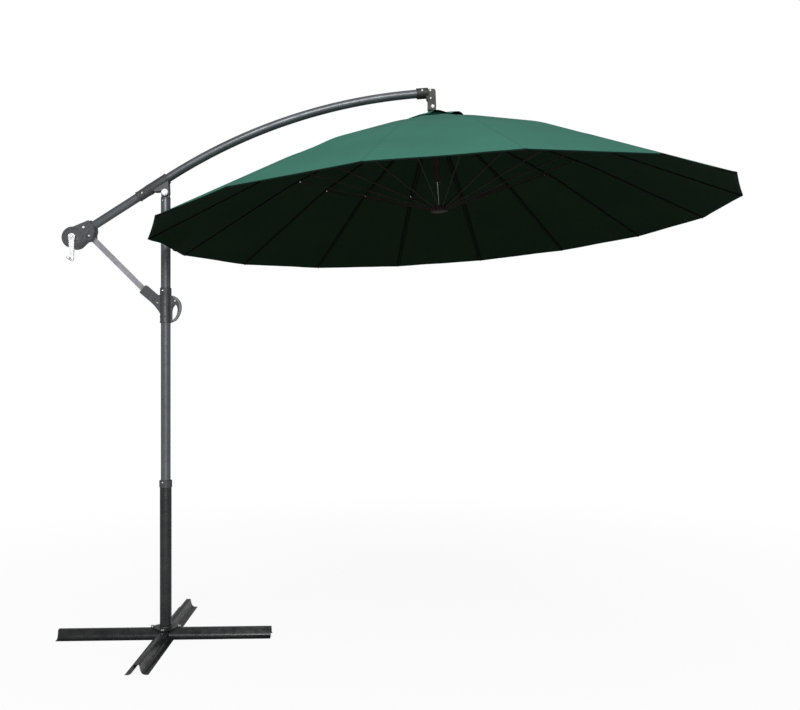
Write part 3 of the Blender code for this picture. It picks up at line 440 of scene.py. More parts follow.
def tube(name, points, radius, sides, widths=None):
    """A closed round bar along a polyline, its rings kept square to it."""
    shape = bmesh.new()
    rings = []
    for i, point in enumerate(points):
        before, after = points[max(i - 1, 0)], points[min(i + 1, len(points) - 1)]
        along = (Vector(after) - Vector(before)).normalized()
        side = WORLD_Y if abs(along.y) < 0.9 else Vector((1.0, 0.0, 0.0))
        first = along.cross(side).normalized()
        second = along.cross(first)
        r = radius * (widths[i] if widths else 1.0)
        rings.append([
            shape.verts.new(Vector(point) + r * (math.cos(a) * first + math.sin(a) * second))
            for a in angles(sides)
        ])
    join_rings(shape, rings)
    return from_shape(name, shape, 50.0)


def slab(name, outline, low_y, high_y, width=0.0):
    """A plate in the XZ plane, its outline in world X and Z."""
    shape = bmesh.new()
    front = [shape.verts.new((x, low_y, z)) for x, z in outline]
    back = [shape.verts.new((x, high_y, z)) for x, z in outline]
    shape.faces.new(front)
    shape.faces.new(back)
    for i in range(len(outline)):
        j = (i + 1) % len(outline)
        shape.faces.new((front[i], front[j], back[j], back[i]))
    obj = from_shape(name, shape, 38.0)
    return rounded(obj, width) if width else obj


def rail(name, start, end, wide, span, eased, body, shift=0.0):
    """A straight raised rail between two points of the XZ plane, as wide as given to each side."""
    corners = (start - wide, end - wide, end + wide, start + wide)
    outline = [(p.x + shift, p.z) for p in corners]
    adopt(slab(name, outline, *sorted(span), eased), body, "dark_casting")


def facing(place, outwards):
    """A matrix that puts local Z along a direction at a place."""
    return Matrix.Translation(place) @ Vector(outwards).to_track_quat("Z", "Y").to_matrix().to_4x4()


def at_mast(x, z, y=0.0):
    return Vector((x + MAST_X, y, z))


SCREW_SIDES = 24
HEAD_HIGH = 0.55  # as shares of a screw's radius
SOCKET_WIDE = 0.42


def screw(name, place, outwards, radius, body, look="zinc_steel"):
    """A button-head screw with a hexagon socket."""
    shape = bmesh.new()
    high = radius * HEAD_HIGH
    head = ((radius, 0.0), (radius, high * 0.25), (radius * 0.86, high * 0.68), (radius * 0.62, high))
    rings = [round_ring(shape, r, z, SCREW_SIDES) for r, z in head]
    for z in (high, high * 0.25):
        ring = []
        for a in angles(SCREW_SIDES):
            flat = radius * SOCKET_WIDE * math.cos(math.pi / 6) / math.cos((a % (math.pi / 3)) - math.pi / 6)
            ring.append(shape.verts.new((flat * math.cos(a), flat * math.sin(a), z)))
        rings.append(ring)
    join_rings(shape, rings)
    bmesh.ops.transform(shape, matrix=facing(place, outwards), verts=shape.verts)
    return adopt(from_shape(name, shape, 35.0), body, look)


# ---- camera, floor and light


CAMERA_AT = (-0.1288, -3.9647, 1.2524)
CAMERA_LENS = 37.074  # mm
CAMERA_SENSOR = 36.0  # mm
CAMERA_TURN = -2.332  # degrees about Z
CAMERA_RISE = 0.02334  # shift of a level lens, as a share of the sensor's width


def make_camera():
    data = bpy.data.cameras.new("camera")
    data.sensor_width = CAMERA_SENSOR
    data.lens = CAMERA_LENS
    data.shift_y = CAMERA_RISE
    camera = bpy.data.objects.new("camera", data)
    camera.location = CAMERA_AT
    camera.rotation_euler = (math.radians(90.0), 0.0, math.radians(CAMERA_TURN))
    show(camera)
    bpy.context.scene.camera = camera


FLOOR_R = 60.0
FLOOR_GAP = 0.0006  # between the floor and the CAD's lowest face
FLOOR_FADE = (1.0, 4.5)  # distances between which the floor turns white


def make_floor():
    """A pale floor that fades to the white surroundings well before the horizon."""
    shape = bmesh.new()
    bmesh.ops.create_circle(shape, cap_ends=True, segments=96, radius=FLOOR_R)
    bmesh.ops.translate(shape, verts=shape.verts, vec=(0.0, 0.0, -FLOOR_GAP))
    floor = from_shape("floor", shape)
    made, tree, shader = new_material("pale_floor", (0.90, 0.90, 0.90), 0.9)
    shader.inputs["Specular IOR Level"].default_value = 0.05
    place = put(tree, "ShaderNodeTexCoord").outputs["Object"]
    away = put(tree, "ShaderNodeVectorMath", {0: place}, operation="LENGTH").outputs["Value"]
    fade = spread(tree, away, 0.90, 1.0, *FLOOR_FADE)
    seen = put(tree, "ShaderNodeLightPath").outputs["Is Camera Ray"]
    share = put(tree, "ShaderNodeMath", {0: fade, 1: seen}, operation="MULTIPLY").outputs[0]
    white = put(tree, "ShaderNodeEmission", {"Strength": 1.0}).outputs[0]
    mix = put(tree, "ShaderNodeMixShader", {0: share, 1: shader.outputs[0], 2: white})
    tree.links.new(mix.outputs[0], tree.nodes["Material Output"].inputs["Surface"])
    floor.data.materials.append(made)
    show(floor)


def soft_light(name, place, target, size, power):
    data = bpy.data.lights.new(name, "AREA")
    data.shape = "RECTANGLE"
    data.size, data.size_y = size
    data.energy = power
    light = bpy.data.objects.new(name, data)
    light.location = place
    light.rotation_euler = (Vector(target) - Vector(place)).to_track_quat("-Z", "Y").to_euler()
    show(light)


ROOM_LIGHT = 0.33  # the surroundings' share of the light; the camera sees them as white


def make_light():
    world = bpy.data.worlds.new("studio")
    world.use_nodes = True
    tree = world.node_tree
    room = tree.nodes["Background"]
    room.inputs["Color"].default_value = (1.0, 1.0, 1.0, 1.0)
    room.inputs["Strength"].default_value = ROOM_LIGHT
    white = put(tree, "ShaderNodeBackground", {"Color": (1.0, 1.0, 1.0, 1.0), "Strength": 1.0})
    seen = put(tree, "ShaderNodeLightPath").outputs["Is Camera Ray"]
    mix = put(tree, "ShaderNodeMixShader", {0: seen, 1: room.outputs[0], 2: white.outputs[0]})
    tree.links.new(mix.outputs[0], tree.nodes["World Output"].inputs["Surface"])
    bpy.context.scene.world = world
    soft_light("key", (-0.7, -6.2, 4.8), (0.2, 0.0, 1.9), (2.4, 2.4), 400.0)
    soft_light("top", (0.4, -1.5, 6.0), (0.2, 0.0, 2.0), (5.0, 3.5), 40.0)
    soft_light("strip", (0.3, -4.2, 1.4), (-1.08, 0.0, 1.3), (0.30, 2.6), 22.0)
    bpy.context.scene.view_settings.view_transform = "Standard"


# ---- stand


def make_stand():
    refined("cross_member_x", 0.0006, 20.0)
    refined("cross_member_y", 0.0006, 20.0)
    refined("mast_foot", 0.0006)
    refined("mast_head", 0.0008)
    refined("stop_collar", 0.0006)
    refined("mast_collar", 0.0006)
    refined("pivot_bolt", 0.0)
    for number in range(1, 5):
        refined(f"foot_bolt_{number}", 0.0004)
    low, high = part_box("upper_mast")
    inner = MAST_R - MAST_WALL
    profile = [(MAST_R, low.z), (MAST_R, high.z), (inner, high.z), (inner, low.z)]
    mast = hoop("upper_mast_tube", profile, 96, Matrix.Translation((MAST_X, 0.0, 0.0)))
    adopt(mast, "stand", "mast_paint", stands_for=["upper_mast"])
    weld_bead()
    screw("mast_head_screw", at_mast(-0.0100, 2.0730, -0.0200), (-0.4, -0.9, 0.0), 0.0042, "stand")
    screw("collar_screw", at_mast(-0.0080, 0.7380, -0.0284), (-0.27, -0.96, 0.0), 0.0042, "stand")
    screw("stop_screw", at_mast(-0.0080, 1.6470, -0.0250), (-0.3, -0.95, 0.0), 0.0044, "stand")
    cap = [
        (0.0, 0.0068), (0.0060, 0.0066), (0.0118, 0.0054), (0.0152, 0.0030), (0.0160, 0.0010),
        (0.0160, 0.0), (0.0, 0.0),
    ]
    for side, end in BOTH_SIDES:
        place = PIVOT + Vector((0.0, side * 0.0196, 0.0))
        shell = lathe(f"pivot_cap_{end}", cap, 48, facing(place, (0.0, side, 0.0)))
        adopt(shell, "stand", "white_cap")


BEAD_R = 0.0030
HEAD_OVER_PLATE = 0.0055  # a foot bolt's head above the foot plate
BEAD_STEPS = 180
BEAD_SIDES = 10


def weld_bead():
    """The rippled weld round the lower tube's foot."""
    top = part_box("foot_bolt_1")[1].z - HEAD_OVER_PLATE
    shape = bmesh.new()
    rings = []
    for a in angles(BEAD_STEPS):
        size = BEAD_R * (1.0 + 0.16 * abs(math.sin(22.0 * a)) + 0.10 * math.sin(3.0 * a + 1.0))
        ring = []
        for b in angles(BEAD_SIDES):
            r = LOWER_R + 0.0006 + size * math.cos(b)
            z = top + size * math.sin(b) * 0.9
            ring.append(shape.verts.new((MAST_X + r * math.cos(a), r * math.sin(a), z)))
        rings.append(ring)
    join_rings(shape, rings, around=True)
    adopt(from_shape("foot_weld", shape, 80.0), "stand", "weld")


# ---- slider


def make_slider():
    refined("slider_body", 0.0009)
    refined("squeeze_lever", 0.0007)
    refined("support_strut", 0.0007)
    grip_strip()
    for side, end in BOTH_SIDES:
        out = (0.0, side, 0.0)
        place = LEVER_PIN + Vector((0.0, side * 0.0090, 0.0))
        screw(f"grip_screw_{end}", place, out, 0.0046, "slider", "white_cap")
        screw(f"fork_screw_{end}", at_mast(-0.0345, 1.5885, side * 0.0125), out, 0.0042, "slider")
    fork_rails()
    band = [
        (0.0263, -0.0040), (0.0272, -0.0030), (0.0272, 0.0030), (0.0263, 0.0040),
        (0.0255, 0.0040), (0.0255, -0.0040),
    ]
    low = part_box("slider_body")[0]
    for number, height in enumerate((low.z + 0.030, low.z + 0.086)):
        obj = hoop(f"slider_band_{number + 1}", band, 72, Matrix.Translation((MAST_X, 0.0, height)))
        adopt(obj, "slider", "dark_casting")


FORK_HALF = 0.0150  # from the fork's middle line to a rail's
RAIL_HALF = 0.0016


def fork_rails():
    """Raised rails along the fork's edges on both of its faces."""
    along = (Vector((-0.1050, 0.0, 1.6555)) - Vector((-0.0420, 0.0, 1.6010))).normalized()
    across = Vector((-along.z, 0.0, along.x))
    middle_low, middle_high = Vector((-0.0480, 0.0, 1.6010)), Vector((-0.1015, 0.0, 1.6490))
    for side, end in BOTH_SIDES:
        for edge, level in ((-1, "upper"), (1, "lower")):
            a = middle_low + across * FORK_HALF * edge
            b = middle_high + across * FORK_HALF * edge
            span = (side * 0.0122, side * 0.0140)
            rail(f"fork_rail_{end}_{level}", a, b, across * RAIL_HALF, span, 0.0005, "slider", MAST_X)


def grip_strip():
    """The lighter outer shell of the hand grip, a strip that follows its curve."""
    curve = [
        (0.0330, 1.6233), (0.0450, 1.6175), (0.0580, 1.6075), (0.0680, 1.5930), (0.0725, 1.5760),
        (0.0725, 1.5620), (0.0690, 1.5440), (0.0610, 1.5250), (0.0500, 1.5090), (0.0390, 1.5005),
    ]
    points = smooth_line([Vector((x + MAST_X, 0.0, z)) for x, z in curve], 6)
    section = (
        (-0.0096, -0.0070), (-0.0096, 0.0), (-0.0070, 0.0016), (0.0, 0.0022), (0.0070, 0.0016),
        (0.0096, 0.0), (0.0096, -0.0070),
    )
    shape = bmesh.new()
    rings = []
    for i, point in enumerate(points):
        along = (points[min(i + 1, len(points) - 1)] - points[max(i - 1, 0)]).normalized()
        out = Vector((-along.z, 0.0, along.x))
        fade = math.sin(math.pi * min(1.0, 0.12 + 0.88 * min(i, len(points) - 1 - i) / 8.0) / 2)
        ring = []
        for y, depth in section:
            ring.append(shape.verts.new(point + Vector((0.0, y, 0.0)) + out * depth * fade))
        rings.append(ring)
    join_rings(shape, rings)
    adopt(from_shape("grip_shell", shape, 50.0), "slider", "grip_grey")


def smooth_line(points, steps):
    """A Catmull-Rom line through points."""
    made = []
    for i in range(len(points) - 1):
        p0, p1 = points[max(i - 1, 0)], points[i]
        p2, p3 = points[i + 1], points[min(i + 2, len(points) - 1)]
        for n in range(steps):
            t = n / steps
            made.append(
                0.5 * (2 * p1 + (p2 - p0) * t + (2 * p0 - 5 * p1 + 4 * p2 - p3) * t * t
                       + (3 * p1 - p0 - 3 * p2 + p3) * t ** 3)
            )
    made.append(points[-1].copy())
    return made


# ---- arm


def arm_point(s):
    """The arm's centre line: straight to the bend, then one long arc."""
    if s <= ARM_BEND_AT:
        return Vector((ARM_ORIGIN[0] + s * ARM_COS, 0.0, ARM_ORIGIN[1] + s * ARM_SIN))
    x, z = bend_centre()
    angle = math.pi / 2 + ARM_ANGLE - (s - ARM_BEND_AT) / ARM_BEND_R
    return Vector((x + ARM_BEND_R * math.cos(angle), 0.0, z + ARM_BEND_R * math.sin(angle)))


def bend_centre():
    x = ARM_ORIGIN[0] + ARM_BEND_AT * ARM_COS + ARM_BEND_R * ARM_SIN
    return x, ARM_ORIGIN[1] + ARM_BEND_AT * ARM_SIN - ARM_BEND_R * ARM_COS


def arm_length():
    angle = math.acos((ARM_END_X - bend_centre()[0]) / ARM_BEND_R)
    return ARM_BEND_AT + ARM_BEND_R * (math.pi / 2 + ARM_ANGLE - angle)


ARM_END = arm_length()
BEND_STEPS = 72


def make_arm():
    refined("arm_clamp", 0.0009)
    refined("crank_housing", 0.0016)
    refined("strut_upper_pin", 0.0, look="dark_casting")
    refined("arm_end_bracket", 0.0008, look="bracket")
    refined("hanger_bolt", 0.0, look="white_cap")
    front_part = ARM_END - ARM_BEND_AT
    stations = [ARM_REAR] + [ARM_BEND_AT + front_part * i / BEND_STEPS for i in range(BEND_STEPS + 1)]
    bent = tube("arm_bent_tube", [arm_point(s) for s in stations], ARM_R, 72)
    adopt(bent, "arm", "arm_paint", stands_for=["arm_tube"])
    clamp_details()
    housing_details()
    end_details()


def along_arm(s):
    """A matrix with local Z along the straight arm at a distance along it."""
    return facing(arm_point(s), (ARM_COS, 0.0, ARM_SIN))


def clamp_details():
    bands = ((-0.1500, 0.0246), (-0.1000, 0.0246), (-0.0900, 0.0256), (0.0080, 0.0256))
    for number, (s, radius) in enumerate(bands):
        band = [
            (radius - 0.003, -0.003), (radius, -0.0025), (radius + 0.0010, 0.0), (radius, 0.0025),
            (radius - 0.003, 0.003),
        ]
        obj = hoop(f"clamp_band_{number + 1}", band, 72, along_arm(s))
        adopt(obj, "arm", "dark_casting")
    for side, end in BOTH_SIDES:
        place = arm_point(-0.1260) + Vector((0.0, side * 0.0236, 0.0))
        screw(f"clamp_screw_{end}", place, (0.0, side, 0.0), 0.0046, "arm")


DRUM_RIVETS_R = 0.0300
DRUM_RIVETS_AT = (95.0, 150.0, 205.0, 260.0)  # degrees round the drum


def housing_details():
    """Ring, boss, stiffening ribs and screws on each face of the crank housing."""
    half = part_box("crank_housing")[1].y
    for side, end in BOTH_SIDES:
        out = (0.0, side, 0.0)
        face = DRUM + Vector((0.0, side * half, 0.0))
        lug = Vector((LUG.x, side * half, LUG.z))
        rings = (
            ("housing_ring", face, 0.0405, 0.0465, 0.0024), ("housing_boss", face, 0.0085, 0.0150, 0.0034),
            ("lug_ring", lug, 0.0118, 0.0198, 0.0028),
        )
        for name, place, inner, outer, high in rings:
            raised_ring(f"{name}_{end}", facing(place, out), inner, outer, high)
        pin_face = Vector((LUG.x, side * (half + 0.0040), LUG.z))
        screw(f"lug_screw_{end}", pin_face, out, 0.0038, "arm", "white_cap")
        screw(f"housing_screw_{end}", at_mast(-0.3760, 1.9420, side * half), out, 0.0056, "arm", "white_cap")
        screw(f"drum_screw_{end}", at_mast(-0.4030, 1.8880, side * half), out, 0.0036, "arm", "grip_grey")
        for number, turn in enumerate(DRUM_RIVETS_AT):
            a = math.radians(turn)
            place = face + Vector((DRUM_RIVETS_R * math.cos(a), 0.0, DRUM_RIVETS_R * math.sin(a)))
            screw(f"drum_rivet_{end}_{number + 1}", place, out, 0.0026, "arm", "dark_casting")
        throat_ribs(side, end, half)
    mouth = [
        (0.0206, -0.0045), (0.0206, 0.0045), (0.0268, 0.0045), (0.0278, 0.0035), (0.0278, -0.0035),
        (0.0268, -0.0045),
    ]
    adopt(hoop("housing_mouth", mouth, 80, along_arm(-0.4040)), "arm", "dark_casting")


def raised_ring(name, matrix, inner, outer, high):
    """A moulded ring that stands a little proud of a face, its edges eased."""
    sunk, ease = -0.0020, 0.0010
    profile = [
        (inner, sunk), (inner, high - ease), (inner + ease, high), (outer - ease, high),
        (outer, high - ease), (outer, sunk),
    ]
    adopt(hoop(name, profile, 80, matrix), "arm", "dark_casting")


DRUM_EDGE = 0.0500  # from the drum's axis to where the throat begins
THROAT_PITCH = 0.0160


def throat_ribs(side, end, half):
    """Three raised ribs that run from the drum to the housing's mouth."""
    square = Vector((-ARM_SIN, 0.0, ARM_COS))
    start = DRUM + Vector((DRUM_EDGE * ARM_COS, 0.0, DRUM_EDGE * ARM_SIN))
    mouth = arm_point(-0.4090)
    span = (side * (half - 0.001), side * (half + 0.0018))
    for number, offset in enumerate((-THROAT_PITCH, 0.0, THROAT_PITCH)):
        a = start.lerp(mouth, 0.25) + offset * square
        b = mouth + offset * square
        rail(f"throat_rib_{end}_{number + 1}", a, b, RAIL_HALF * square, span, 0.0006, "arm")


def end_details():
    for side, end in BOTH_SIDES:
        out = (0.0, side, 0.0)
        screw(f"socket_screw_{end}", at_mast(1.2214, 2.6100, side * 0.0252), out, 0.0050, "arm", "white_cap")
        screw(f"cheek_screw_{end}_1", at_mast(1.2610, 2.6130, side * 0.0175), out, 0.0048, "arm", "white_cap")
        screw(f"cheek_screw_{end}_2", at_mast(1.2630, 2.5760, side * 0.0175), out, 0.0042, "arm", "white_cap")


# ---- crank


def make_crank():
    refined("crank_handle", 0.0014)
    refined("crank_knob", 0.0005)
    refined("cord_reel", 0.0005)
    nut = [(0.0, 0.0045), (0.0048, 0.0040), (0.0064, 0.0015), (0.0066, 0.0), (0.0, 0.0)]
    place = DRUM + Vector((0.0, -0.0480, 0.0))
    adopt(lathe("crank_nut", nut, 32, facing(place, (0.0, -1.0, 0.0))), "crank", "crank_grey")
    hub = [
        (0.0072, -0.004), (0.0072, 0.0030), (0.0085, 0.0042), (0.0118, 0.0042), (0.0130, 0.0026),
        (0.0130, -0.004),
    ]
    place = DRUM + Vector((0.0, -0.0445, 0.0))
    adopt(hoop("crank_hub_ring", hub, 48, facing(place, (0.0, -1.0, 0.0))), "crank", "crank_grey")
    rib = [(-0.0028, -0.022), (-0.0030, -0.084), (0.0014, -0.084), (0.0030, -0.022)]
    outline = [(DRUM.x + x - 0.001, DRUM.z + z) for x, z in rib]
    adopt(slab("crank_lever_rib", outline, -0.0466, -0.0445, 0.0006), "crank", "crank_grey")


# ---- canopy cloth


def profile_height(profile, radius):
    """Height on a smooth line through (radius, height) points."""
    for i in range(len(profile) - 1):
        if radius <= profile[i + 1][0] or i == len(profile) - 2:
            break
    x1, y1 = profile[i]
    x2, y2 = profile[i + 1]
    x0, y0 = profile[i - 1] if i else (2 * x1 - x2, 2 * y1 - y2)
    x3, y3 = profile[i + 2] if i + 2 < len(profile) else (2 * x2 - x1, 2 * y2 - y1)
    m1, m2 = (y2 - y0) / (x2 - x0), (y3 - y1) / (x3 - x1)
    h = x2 - x1
    t = (radius - x1) / h
    return (
        (2 * t ** 3 - 3 * t ** 2 + 1) * y1 + (t ** 3 - 2 * t ** 2 + t) * h * m1
        + (-2 * t ** 3 + 3 * t ** 2) * y2 + (t ** 3 - t ** 2) * h * m2
    )


def ramp_area(radius, start, end):
    """Area, up to a radius, under a line that rises from 0 to 1 between two radii and stays there."""
    inside = min(max(radius, start), end) - start
    return inside ** 2 / (2 * (end - start)) + max(0.0, radius - end)


def cloth_height(radius):
    """Height of the main cloth along a rib: three straight slopes joined by two bends."""
    fall = SLOPE_CROWN * (RIM_R - radius)
    bends = ((*SHOULDER, SLOPE_PANEL - SLOPE_CROWN), (*KNEE, SLOPE_RIM - SLOPE_PANEL))
    for start, end, change in bends:
        fall += change * (ramp_area(RIM_R, start, end) - ramp_area(radius, start, end))
    return fall


def rim_point(angle):
    return Vector((RIM_R * math.cos(angle), RIM_R * math.sin(angle), 0.0))


FOLD_LIFT = 0.0050  # the hem's fold and pleat beside the mast
PLEAT_DROP = 0.0030


def notch_shift(k, t, radius):
    """How far the cloth is pushed where the hem rests against the mast."""
    if k != NOTCH_PANEL or radius <= NOTCH_FROM:
        return Vector()
    a0 = FIRST_RIB + k * PANEL
    on_chord = rim_point(a0).lerp(rim_point(a0 + PANEL), NOTCH_T)
    share = ((radius - NOTCH_FROM) / (RIM_R - NOTCH_FROM)) ** 1.5
    tent = t / NOTCH_T if t <= NOTCH_T else (1 - t) / (1 - NOTCH_T)
    fold = math.exp(-(((t - NOTCH_T - 0.13) / 0.07) ** 2)) * share ** 2
    pleat = math.exp(-(((t - NOTCH_T + 0.16) / 0.09) ** 2)) * share ** 2
    lift = FOLD_LIFT * fold - PLEAT_DROP * pleat
    return (NOTCH - on_chord) * share * tent + Vector((lift, 0.0, 1.1 * lift))


# How far the cloth leaves its plain panels, in metres
HEM_DRAW = 0.0030  # the hem is drawn in between its corners
PUCKER_HIGH = 0.0013  # small waves beside each seam
PUCKER_LONG = 0.047
PUCKER_WIDE = 0.022
SEAM_HIGH = 0.0010  # the seam's own doubled cloth
SEAM_WIDE = 0.0062
SLACK = 0.0014  # wide, shallow unevenness
RAYS = 0.0018  # faint folds that run outwards


def cloth_point(k, t, radius):
    """A point of the cloth in the canopy's frame: panel k, t across it from its rib."""
    a0 = FIRST_RIB + k * PANEL
    z = cloth_height(radius)
    start = Vector((radius * math.cos(a0), radius * math.sin(a0), z))
    end = Vector((radius * math.cos(a0 + PANEL), radius * math.sin(a0 + PANEL), z))
    point = start.lerp(end, t)
    u = (radius - GORE_FROM) / (RIM_R - GORE_FROM)
    middle = 4 * t * (1 - t)
    point.z -= SAG * middle * math.sin(math.pi * min(1.0, u)) ** 0.8
    inward = -Vector((point.x, point.y, 0.0)).normalized()
    if k != NOTCH_PANEL:
        point += inward * HEM_DRAW * middle * max(0.0, u) ** 10
    from_rib = min(t, 1 - t) * 2 * radius * math.sin(PANEL / 2)
    pucker = math.exp(-from_rib / PUCKER_WIDE) * (1 - math.exp(-((from_rib / 0.007) ** 2)))
    phase = 2.1 * k + (0.8 if t < 0.5 else 0.0)
    point.z += PUCKER_HIGH * pucker * math.sin(radius * 2 * math.pi / PUCKER_LONG + phase)
    point.z += SEAM_HIGH * math.exp(-((from_rib / SEAM_WIDE) ** 4))
    slack = SLACK * middle * noise.noise(Vector((point.x * 3.1, point.y * 3.1, k * 0.37)))
    ray = noise.noise(Vector((t * 5.0 + 11.0 * k, radius * 1.1, 3.3)))
    point.z += slack + RAYS * ray * middle * max(0.0, u - 0.3)
    return point + notch_shift(k, t, radius)


def gore_columns(half_at):
    """Signed shares across a gore from one mid-panel line to the other, close together at the seam."""
    near = [0.004, 0.0075, 0.011, 0.018]
    shares = [n / half_at for n in near]
    last = shares[-1]
    shares += [last + (1 - last) * i / 8 for i in range(1, 9)]
    return [-s for s in reversed(shares)] + [0.0] + shares


def gore_point(k, share, radius):
    """share runs from -1, the middle of the panel before rib k, to 1, the middle of the one after."""
    if share < 0:
        return cloth_point((k - 1) % RIBS, 1.0 + share / 2, radius)
    return cloth_point(k, share / 2, radius)


def keep_distances(mesh, across, along):
    """Writes the distances that the cloth's material reads on a mesh's points."""
    for key, values in (("across", across), ("along", along)):
        mesh.attributes.new(key, "FLOAT", "POINT").data.foreach_set("value", values)


def thin_sheet(name, rows, normals, across, along):
    """A closed sheet over a grid of points, cloth above and lining below, shaded by given normals."""
    count, total = len(rows[0]), len(rows) * len(rows[0])
    top = [p for row in rows for p in row]
    low = [p - CLOTH * n for p, n in zip(top, normals)]
    faces, looks = [], []
    for i in range(len(rows) - 1):
        for j in range(count - 1):
            a = i * count + j
            quad = (a, a + count, a + count + 1, a + 1)
            faces.append(quad)
            faces.append(tuple(v + total for v in reversed(quad)))
            looks += [0, 1]
    last = len(rows) - 1
    rim = [i * count for i in range(last)] + [last * count + j for j in range(count - 1)]
    rim += [i * count + count - 1 for i in range(last, 0, -1)] + list(range(count - 1, 0, -1))
    for a, b in zip(rim, rim[1:] + rim[:1]):
        faces.append((b, a, a + total, b + total))
        looks.append(1)
    mesh = bpy.data.meshes.new(name)
    mesh.from_pydata(top + low, [], faces)
    keep_distances(mesh, across * 2, along * 2)
    mesh.materials.append(CLOTH_TOP)
    mesh.materials.append(CLOTH_UNDER)
    made = []
    for number, (face, look) in enumerate(zip(mesh.polygons, looks)):
        face.use_smooth = True
        face.material_index = look
        for v in face.vertices:
            if number >= 2 * last * (count - 1):
                made.append(face.normal.copy())
            else:
                made.append(normals[v] if v < total else -normals[v - total])
    mesh.normals_split_custom_set(made)
    obj = bpy.data.objects.new(name, mesh)
    show(obj)
    return obj


def sheet_piece(name, k, radii):
    """One stretch of a gore, with its seam and crown distances on its points."""
    rows, across, along = [], [], []
    for radius in radii:
        rows.append([CANOPY @ gore_point(k, share, radius) for share in SHARES])
        across += [share * radius * math.tan(PANEL / 2) for share in SHARES]
        along += [radius] * len(SHARES)
    return thin_sheet(name, rows, surface_normals(k, radii), across, along)


def surface_normals(k, radii):
    """Normals of the whole surface at each point, so that neighbouring gores shade as one cloth."""
    step_r, step_s = 0.004, 0.02
    made = []
    for radius in radii:
        inner, outer = max(radius - step_r, GORE_FROM), min(radius + step_r, RIM_R)
        for share in SHARES:
            before = gore_point_wide(k, share - step_s, radius)
            after = gore_point_wide(k, share + step_s, radius)
            rise = gore_point(k, share, outer) - gore_point(k, share, inner)
            normal = rise.cross(after - before).normalized()
            made.append(CANOPY_TURN @ (normal if normal.z > 0 else -normal))
    return made


def gore_point_wide(k, share, radius):
    """gore_point, carried on past the middle of a panel into the next gore."""
    if share > 1:
        return gore_point((k + 1) % RIBS, share - 2, radius)
    if share < -1:
        return gore_point((k - 1) % RIBS, share + 2, radius)
    return gore_point(k, share, radius)


def tangent(k):
    a = FIRST_RIB + k * PANEL
    return CANOPY_TURN @ Vector((-math.sin(a), math.cos(a), 0.0))


def fold_with_rib(obj, k, keep):
    """The piece rides its rib."""
    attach(obj, f"rib_{k + 1:02d}")
    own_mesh(obj)


# Radii that cut a gore into stretches
STRETCH_ENDS = (GORE_FROM, 0.130, 0.170, 0.230, 0.310, 0.420, 0.560, 0.740, 0.960, 1.160, RIM_R)
RIB_FOLD = math.radians(66.55)
OVERLAP = 1.06  # neighbouring gores still meet when they are gathered


def gathered(low, high, height=cloth_height):
    """The share of a stretch's width that is left round the closed ribs."""
    middle = (low + high) / 2
    out, up = middle - RIB_HINGE_R, height(middle) - RIB_HINGE_Z
    closed = RIB_HINGE_R + out * math.cos(RIB_FOLD) + up * math.sin(RIB_FOLD)
    return min(1.0, OVERLAP * closed / middle)


def steps(low, high, size):
    count = max(2, round((high - low) / size))
    return [low + (high - low) * i / count for i in range(count + 1)]


SHARES = gore_columns(0.55 * RIM_R * math.tan(PANEL / 2))
GORE_STEP = 0.0135  # between two rows of points
CAP_STEP = 0.0065


def make_gore(k):
    for number, (low, high) in enumerate(zip(STRETCH_ENDS, STRETCH_ENDS[1:])):
        obj = sheet_piece(f"gore_{k + 1:02d}_{number + 1:02d}", k, steps(low, high, GORE_STEP))
        fold_with_rib(obj, k, gathered(low, high))
        if number == 0:
            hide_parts("canopy")
        fall = cloth_height(low) - cloth_height(high)
    make_binding(k)
    make_cap_piece(k)
    make_rib_fittings(k)


def make_binding(k):
    """The hem's binding, a tape folded over the cloth's edge."""
    section = [
        (-0.0150, 0.0006), (-0.0080, 0.0013), (-0.0010, 0.0014), (0.0016, 0.0), (-0.0010, -0.0022),
        (-0.0080, -0.0021), (-0.0150, -0.0014),
    ]
    shape = bmesh.new()
    rings, across, along = [], [], []
    for share in SHARES:
        edge = gore_point(k, share, RIM_R)
        inner = gore_point(k, share, RIM_R - 0.02)
        out = (edge - inner).normalized()
        up = Vector((0.0, 0.0, 1.0)) - out * out.z
        up.normalize()
        ring = []
        for d, h in section:
            ring.append(shape.verts.new(CANOPY @ (edge + out * d + up * h)))
            across.append(0.05 + d)
            along.append(share * RIM_R * math.tan(PANEL / 2))
        rings.append(ring)
    join_rings(shape, rings)
    obj = from_shape(f"hem_{k + 1:02d}", shape, 60.0)
    keep_distances(obj.data, across, along)
    obj.data.materials.append(BINDING)
    show(obj)
    fold_with_rib(obj, k, gathered(*STRETCH_ENDS[-2:]))


def cap_point(angle, radius):
    """A point of the loose cap: level at its seam ring, ruffled at its edge."""
    rise = max(0.0, (radius - 0.070) / (CAP_OUT - 0.070)) ** 1.4
    z = profile_height(CAP_PROFILE, radius)
    for middle, half, lift in RUFFLES:
        off = (math.degrees(angle) - middle + 180.0) % 360.0 - 180.0
        z += lift * rise * math.exp(-((off / half) ** 2))
    z += 0.0010 * rise * math.sin(23 * angle + 1.1)
    return Vector((radius * math.cos(angle), radius * math.sin(angle), z))


def cap_height(radius):
    return profile_height(CAP_PROFILE, radius)


def make_cap_piece(k):
    """One sixteenth of the raised cap over the vent, in three stretches."""
    for number, (low, high) in enumerate(zip(CAP_ENDS, CAP_ENDS[1:])):
        radii = steps(low, high, CAP_STEP)
        obj = cap_stretch(f"cap_{k + 1:02d}_{number + 1}", FIRST_RIB + k * PANEL, radii)
        fold_with_rib(obj, k, gathered(low, high, cap_height))


